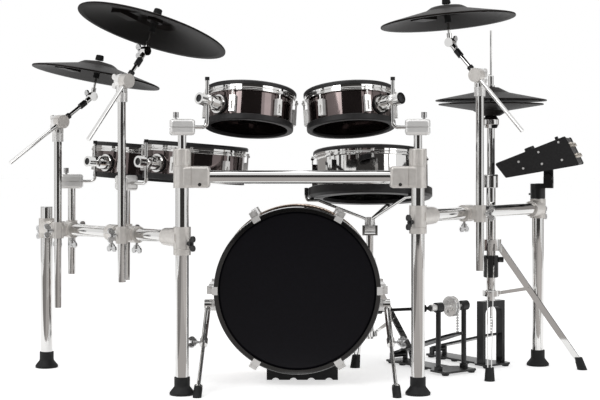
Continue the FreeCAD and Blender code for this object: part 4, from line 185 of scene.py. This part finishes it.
def weave_material(name, dark, light, threads):
    """Woven mesh of a drum head: two crossed sets of threads."""
    material, nodes, links, shader = new_material(name)
    vector = coordinates(nodes, links, (1.0, 1.0, 1.0))
    waves = []
    for axis in ("X", "Y"):
        texture = nodes.new("ShaderNodeTexWave")
        texture.wave_type = "BANDS"
        texture.bands_direction = axis
        texture.inputs["Scale"].default_value = threads
        links.new(vector, texture.inputs["Vector"])
        waves.append(texture.outputs["Fac"])
    crossed = nodes.new("ShaderNodeMath")
    crossed.operation = "MAXIMUM"
    links.new(waves[0], crossed.inputs[0])
    links.new(waves[1], crossed.inputs[1])
    height = crossed.outputs["Value"]
    colour = ramp(nodes, links, height, list(zip(WEAVE_STOPS, (dark, light))))
    links.new(colour, shader.inputs["Base Color"])
    shader.inputs["Roughness"].default_value = WEAVE_ROUGHNESS
    bump(nodes, links, shader, height, WEAVE_BUMP, WEAVE_DEPTH)
    return material


MESH_HEAD = weave_material("mesh_head", (0.010, 0.010, 0.011), (0.045, 0.045, 0.047), 90.0)

CYMBAL_DARK = (0.0085, 0.0074, 0.0069)
CYMBAL_LIGHT = (0.0145, 0.0128, 0.0120)
CYMBAL_ROUGH = (0.36, 0.48)
CYMBAL_SPECULAR = 0.055
CYMBAL_TINT = (1.0, 0.86, 0.83, 1.0)
CYMBAL_PATCHES = 14.0
CYMBAL_GRAIN = 320.0
GROOVES = 75.0
GROOVE_WAVER = 0.4
GROOVE_BUMP = 0.16
GROOVE_DEPTH = 0.0006
RIM_LINE = 0.91
LINE_HALF = 0.01
LINE_FADE = 0.02
BOW_TONE = (0.9, 0.9, 0.9)
LINE_TONE = (0.25, 0.25, 0.25)
RIM_TONE = (1.0, 1.0, 1.0)


def cymbal_material(name, place, radius):
    """Black rubber with fine concentric grooves and a line inside the rim, round the cymbal's axis."""
    material, nodes, links, shader = new_material(name)
    vector = coordinates(nodes, links, (1.0, 1.0, 0.0), place)
    rings = nodes.new("ShaderNodeTexWave")
    rings.wave_type = "RINGS"
    rings.rings_direction = "Z"
    rings.inputs["Scale"].default_value = GROOVES
    rings.inputs["Distortion"].default_value = GROOVE_WAVER
    links.new(vector, rings.inputs["Vector"])
    fine = noise(nodes, links, vector, CYMBAL_GRAIN)
    height = rings.outputs["Fac"]
    patches = noise(nodes, links, vector, CYMBAL_PATCHES)
    colour = ramp(nodes, links, patches, list(zip(TONE_STOPS, (CYMBAL_DARK, CYMBAL_LIGHT))))
    reach = nodes.new("ShaderNodeVectorMath")
    reach.operation = "LENGTH"
    links.new(vector, reach.inputs[0])
    share = nodes.new("ShaderNodeMath")
    share.operation = "DIVIDE"
    share.inputs[1].default_value = radius
    links.new(reach.outputs["Value"], share.inputs[0])
    line = ramp(nodes, links, share.outputs["Value"],
                [(0.0, BOW_TONE), (RIM_LINE - LINE_FADE, BOW_TONE), (RIM_LINE - LINE_HALF, LINE_TONE),
                 (RIM_LINE + LINE_HALF, LINE_TONE), (RIM_LINE + LINE_FADE, RIM_TONE)])
    toned = nodes.new("ShaderNodeMix")
    toned.data_type = "RGBA"
    toned.blend_type = "MULTIPLY"
    toned.inputs["Factor"].default_value = 1.0
    links.new(colour, toned.inputs["A"])
    links.new(line, toned.inputs["B"])
    links.new(toned.outputs["Result"], shader.inputs["Base Color"])
    links.new(spread(nodes, links, fine, *CYMBAL_ROUGH), shader.inputs["Roughness"])
    shader.inputs["Specular IOR Level"].default_value = CYMBAL_SPECULAR
    shader.inputs["Specular Tint"].default_value = CYMBAL_TINT
    bump(nodes, links, shader, height, GROOVE_BUMP, GROOVE_DEPTH)
    return material


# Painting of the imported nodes: materials in the order of each node's solids, and limits in metres

TOM_HARDWARE = [CHROME, CHROME, CHROME, RUBBER, BLACK_PLASTIC, BRIGHT]
BOOM_MATERIALS = [SATIN, CHROME, CHROME, FELT, FELT, STEEL, BLACK_PLASTIC]
HOLDER_MATERIALS = [CHROME, BRIGHT, STEEL, CHROME, RUBBER]
PAD_MATERIALS = [RIM_RUBBER, MESH_HEAD, RIM_RUBBER, FOAM]
BASKET_MATERIALS = [BRIGHT] + [CHROME, RUBBER, RUBBER] * 3
SPUR_MATERIALS = [CHROME, STEEL, RUBBER]
CYMBAL_R = {"ride": 0.2285, "crash_left": 0.203, "crash_right": 0.203,
            "hihat_top": 0.178, "hihat_bottom": 0.168}
CYMBAL_TILTS = {"ride": (16.0, 10.0), "crash_left": (10.0, 3.5), "crash_right": (-5.0, 2.2)}
WELD_DIGITS = 6
HUB_REACH = 0.09
CASTING_MIN = 0.05
FRONT_SCREW_MAX = 0.016
POLE_MIN = 0.3
HEAD_MIN = 0.3
BEATER_PAD_MAX = 0.07
CHAIN_THIN = 0.012
CHAIN_LONG = 0.2
STUD_TOP = 0.008
AXLE_LONG = 0.09
AXLE_THIN = 0.03
AXLE_LOW = 0.1
MODULE_SCREW_MAX = 0.009
JACK_MAX = 0.03
SCREEN_SPAN = (0.1, 0.14)


def islands(obj):
    """Lists of neighbouring polygon indices that hang together, one for each solid in turn."""
    mesh = obj.data
    ids = {}
    owner = []
    for vertex in mesh.vertices:
        key = tuple(round(value, WELD_DIGITS) for value in vertex.co)
        owner.append(ids.setdefault(key, len(ids)))
    parent = list(range(len(ids)))

    def root(index):
        while parent[index] != index:
            parent[index] = parent[parent[index]]
            index = parent[index]
        return index

    for polygon in mesh.polygons:
        first = root(owner[polygon.vertices[0]])
        for vertex in polygon.vertices[1:]:
            parent[root(owner[vertex])] = first
    groups = []
    last = None
    for polygon in mesh.polygons:
        here = root(owner[polygon.vertices[0]])
        if here != last:
            groups.append([])
            last = here
        groups[-1].append(polygon.index)
    return groups


def island_box(obj, polygons):
    """Middle and size of a group of polygons."""
    mesh = obj.data
    points = [mesh.vertices[vertex].co for index in polygons for vertex in mesh.polygons[index].vertices]
    low = Vector([min(point[axis] for point in points) for axis in range(3)])
    high = Vector([max(point[axis] for point in points) for axis in range(3)])
    return (low + high) / 2, high - low


def paint(node, rule):
    """Gives each solid of a node the material that the rule picks from its middle and size."""
    obj = NODES[node]
    picks = [(polygons, rule(*island_box(obj, polygons))) for polygons in islands(obj)]
    obj.data.materials.clear()
    slots = {}
    for polygons, material in picks:
        if material.name not in slots:
            slots[material.name] = len(slots)
            obj.data.materials.append(material)
        for index in polygons:
            obj.data.polygons[index].material_index = slots[material.name]


def paint_in_order(node, materials):
    """Gives a node's solids the listed materials in turn, and the last one to the rest."""
    queue = iter(materials)
    paint(node, lambda middle, size: next(queue, materials[-1]))


def plain(node, material):
    """One material all over a node."""
    paint(node, lambda middle, size: material)


def by_size(limit, small, large):
    """Rule: solids under a limit take one material, larger ones the other."""
    return lambda middle, size: small if max(size) < limit else large


def paint_kit():
    """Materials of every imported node."""
    for node in ("front_tubes", "left_wing_tubes", "right_wing_tubes", "hihat_rod"):
        plain(node, CHROME)
    for node in ("rubber_feet", "left_rear_foot", "right_rear_foot"):
        plain(node, RUBBER)
    paint("front_clamps", by_size(FRONT_SCREW_MAX, CHROME, SATIN))
    for node in ("left_clamps", "right_clamps"):
        paint(node, clamp_rule)
    for name in ("ride", "crash_left", "crash_right"):
        paint(name + "_stand", by_size(POLE_MIN, BRIGHT, CHROME))
        paint_in_order(name + "_boom", BOOM_MATERIALS)
        lean, tilt = CYMBAL_TILTS[name]
        place = local_place(name + "_rock", lean, tilt)
        plain(name + "_cymbal", cymbal_material(name + "_rubber", place, CYMBAL_R[name]))
    for node in ("front_tom_holders", "side_tom_holders"):
        paint_in_order(node, HOLDER_MATERIALS + HOLDER_MATERIALS)
    for name in ("tom1", "tom2", "tom3", "tom4"):
        plain(name + "_shell", BLACK_CHROME)
        paint_in_order(name + "_hardware", TOM_HARDWARE)
        paint_in_order(name + "_pad", PAD_MATERIALS)
    plain("snare_shell", CHROME)
    plain("snare_hardware", CHROME)
    paint_in_order("snare_pad", PAD_MATERIALS)
    paint_in_order("snare_basket", BASKET_MATERIALS)
    plain("snare_stand", CHROME)
    plain("bass_shell", BLACK_CHROME)
    paint_in_order("bass_hoops", [GLOSS_BLACK, BRONZE])
    paint("bass_heads", lambda middle, size: HEAD_FILM if max(size) > HEAD_MIN else FOAM)
    plain("bass_hardware", BRIGHT)
    for node in ("left_spur", "right_spur"):
        paint_in_order(node, SPUR_MATERIALS)
    paint("pedal_frames", pedal_rule)
    for node in ("main_footboard", "slave_footboard"):
        paint(node, footboard_rule)
    for node in ("main_beater", "left_beater"):
        paint(node, by_size(BEATER_PAD_MAX, WHITE_FELT, STEEL))
    plain("slave_cam", BRIGHT)
    plain("drive_shaft", BLACK_PAINT)
    plain("hihat_stand", CHROME)
    plain("hihat_footboard", BLACK_PAINT)
    paint("hihat_pedal_frame", lambda middle, size: RUBBER if middle.z < STUD_TOP else BLACK_PAINT)
    for node in ("hihat_top", "hihat_bottom"):
        plain(node, cymbal_material(node + "_rubber", hihat_place(), CYMBAL_R[node]))
    paint("module_case", module_rule)
    plain("module_dial", BLACK_PLASTIC)
    plain("module_knob", BLACK_PLASTIC)
    plain("module_mount", BLACK_PAINT)


def local_place(joint, lean, tilt):
    """Frame at a joint with z along an axis leaned to +X and tilted to +Y."""
    normal = Vector((math.tan(math.radians(lean)), math.tan(math.radians(tilt)), 1.0))
    turn = normal.to_track_quat("Z", "Y").to_matrix().to_4x4()
    return Matrix.Translation(Vector(JOINTS[joint]["pos_m"])) @ turn


def hihat_place():
    """Frame on the hi-hat's axis."""
    low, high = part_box("hihat_top")
    return Matrix.Translation(Vector(((low[0] + high[0]) / 2, (low[1] + high[1]) / 2, high[2])))


def clamp_rule(middle, size):
    """Clamp solids: castings satin, the hub's knobs black, the other screws steel."""
    if max(size) > CASTING_MIN:
        return SATIN
    return BLACK_PLASTIC if middle.y < STAGE.y + HUB_REACH else STEEL


def footboard_rule(middle, size):
    """Footboard solids: chain links and pins steel, boards black."""
    return STEEL if min(size) < CHAIN_THIN and max(size) < CHAIN_LONG else BLACK_PAINT


def pedal_rule(middle, size):
    """Pedal frame solids: studs and heel pads rubber, axles and pins steel, the rest black."""
    if middle.z < STUD_TOP:
        return RUBBER
    if max(size) > AXLE_LONG and size.z < AXLE_THIN and middle.z > AXLE_LOW:
        return STEEL
    return BLACK_PAINT


def module_rule(middle, size):
    """Module solids: screws bright, jacks warm metal, screen glass, the rest plastic."""
    if max(size) < MODULE_SCREW_MAX:
        return BRIGHT
    if max(size) < JACK_MAX:
        return CHAMPAGNE
    if SCREEN_SPAN[0] < max(size) < SCREEN_SPAN[1]:
        return SCREEN
    return MODULE_PLASTIC


# Stage, light and camera

WHITE = (1.0, 1.0, 1.0, 1.0)
FLAG_TINT = (1.0, 0.95, 0.92, 1.0)
FLOOR_TONE = (0.93, 0.93, 0.93, 1.0)
FLOOR_ROUGHNESS = 0.9
FLOOR_SPECULAR = 0.1
FLOOR_HALF = 30.0
FLOOR_BELOW = 0.0005
CARD_ABOVE = 0.003
FRONT_ALONG = (-6.0, -0.12)


def at(x, y, z):
    """A place measured from the middle of the front legs."""
    return STAGE + Vector((x, y, z))


def seen_directly(nodes, links):
    """One for camera, mirror and glass rays, nought for the light itself."""
    path = nodes.new("ShaderNodeLightPath")
    socket = path.outputs["Is Camera Ray"]
    for name in ("Is Glossy Ray", "Is Transmission Ray"):
        either = nodes.new("ShaderNodeMath")
        either.operation = "MAXIMUM"
        links.new(socket, either.inputs[0])
        links.new(path.outputs[name], either.inputs[1])
        socket = either.outputs["Value"]
    return socket


def card_material(name, level):
    """Cloth of a studio flag, which shows its own grey whatever light falls on it."""
    material, nodes, links, shader = new_material(name)
    shader.inputs["Base Color"].default_value = (0.0, 0.0, 0.0, 1.0)
    shader.inputs["Specular IOR Level"].default_value = 0.0
    shader.inputs["Emission Color"].default_value = FLAG_TINT
    shader.inputs["Emission Strength"].default_value = level
    return material


def floor_material():
    """Pale paint that reads as white to the camera and in mirrors, and keeps the shadows."""
    material, nodes, links, shader = new_material("floor_paint")
    shader.inputs["Base Color"].default_value = FLOOR_TONE
    shader.inputs["Roughness"].default_value = FLOOR_ROUGHNESS
    shader.inputs["Specular IOR Level"].default_value = FLOOR_SPECULAR
    shader.inputs["Emission Color"].default_value = WHITE
    lift = spread(nodes, links, seen_directly(nodes, links), 0.0, FLOOR_LIFT)
    links.new(lift, shader.inputs["Emission Strength"])
    return material


def make_floor():
    """Pale floor that keeps the shadows."""
    mesh = bpy.data.meshes.new("floor")
    grid = bmesh.new()
    bmesh.ops.create_grid(grid, x_segments=1, y_segments=1, size=FLOOR_HALF)
    grid.to_mesh(mesh)
    grid.free()
    floor = bpy.data.objects.new("floor", mesh)
    floor.location = (0.0, 0.0, -FLOOR_BELOW)
    bpy.context.scene.collection.objects.link(floor)
    mesh.materials.append(floor_material())


def make_world():
    """White backdrop, with a plain level of light."""
    world = bpy.data.worlds.new("studio")
    bpy.context.scene.world = world
    world.use_nodes = True
    nodes = world.node_tree.nodes
    links = world.node_tree.links
    background = nodes["Background"]
    background.inputs["Color"].default_value = WHITE
    level = spread(nodes, links, seen_directly(nodes, links), WORLD_LIGHT, 1.0)
    links.new(level, background.inputs["Strength"])


def area_light(name, place, target, size, power):
    """Soft box aimed at a point."""
    data = bpy.data.lights.new(name, "AREA")
    data.shape = "RECTANGLE"
    data.size = size[0]
    data.size_y = size[1]
    data.energy = power
    light = bpy.data.objects.new(name, data)
    light.location = place
    aim = Vector(target) - Vector(place)
    light.rotation_euler = aim.to_track_quat("-Z", "Y").to_euler()
    bpy.context.scene.collection.objects.link(light)


def dark_card(name, place, target, size, level):
    """Studio flag out of view, which gives the chrome its dark streaks and grey edges."""
    mesh = bpy.data.meshes.new(name)
    card = bmesh.new()
    bmesh.ops.create_grid(card, x_segments=1, y_segments=1, size=0.5)
    card.to_mesh(mesh)
    card.free()
    obj = bpy.data.objects.new(name, mesh)
    obj.location = place
    obj.scale = (size[0], size[1], 1.0)
    aim = Vector(target) - Vector(place)
    obj.rotation_euler = aim.to_track_quat("Z", "Y").to_euler()
    obj.visible_camera = False
    obj.visible_diffuse = False
    obj.visible_shadow = False
    mesh.materials.append(card_material(name + "_paint", level))
    bpy.context.scene.collection.objects.link(obj)


def floor_card(name, across, along, level):
    """Flag lying on the floor in front of the view, seen only in the metal."""
    middle = at(sum(across) / 2, sum(along) / 2, CARD_ABOVE)
    size = (across[1] - across[0], along[1] - along[0])
    dark_card(name, middle, middle + Vector((0.0, 0.0, 1.0)), size, level)


def make_camera():
    """Level camera with the photograph's focal length and framing."""
    data = bpy.data.cameras.new("camera")
    data.sensor_fit = "HORIZONTAL"
    data.sensor_width = SENSOR_MM
    data.lens = FOCAL_PX * SENSOR_MM / IMAGE_W
    data.shift_y = (HORIZON_ROW - IMAGE_H / 2) / IMAGE_W
    data.clip_end = 100.0
    camera = bpy.data.objects.new("camera", data)
    camera.location = at(0.0, -CAMERA_BACK, CAMERA_HEIGHT)
    camera.rotation_euler = (math.pi / 2, 0.0, 0.0)
    bpy.context.scene.collection.objects.link(camera)
    bpy.context.scene.camera = camera


paint_kit()
make_floor()
make_world()
area_light("key", at(-2.6, -3.0, 3.4), at(0.0, 0.3, 0.6), (2.4, 1.8), 62.0)
area_light("fill", at(3.0, -2.6, 2.2), at(0.0, 0.3, 0.6), (2.0, 2.0), 22.0)
area_light("top", at(0.0, 0.8, 4.0), at(0.0, 0.3, 0.4), (3.0, 3.0), 36.0)
dark_card("flag_front", at(0.9, -6.0, 2.5), at(0.9, 0.0, 2.5), (9.8, 5.0), 0.045)
floor_card("grey_front_left", (-4.0, -1.0), FRONT_ALONG, 0.26)
floor_card("grey_front", (-1.0, 0.9), FRONT_ALONG, 0.48)
floor_card("grey_front_right", (0.9, 5.8), FRONT_ALONG, 0.58)
dark_card("flag_left", at(-4.5, -1.2, 1.4), at(0.0, 0.0, 1.4), (0.5, 3.4), 0.05)
dark_card("flag_right", at(4.6, 0.2, 1.4), at(0.0, 0.0, 1.4), (0.6, 3.4), 0.02)
dark_card("grey_left", at(-3.8, 4.0, 1.6), at(0.0, 2.0, 1.6), (4.4, 3.6), 0.35)
dark_card("grey_right", at(3.8, 4.0, 1.6), at(0.0, 2.0, 1.6), (4.4, 3.6), 0.30)
make_camera()
bpy.context.scene.view_settings.view_transform = "Standard"
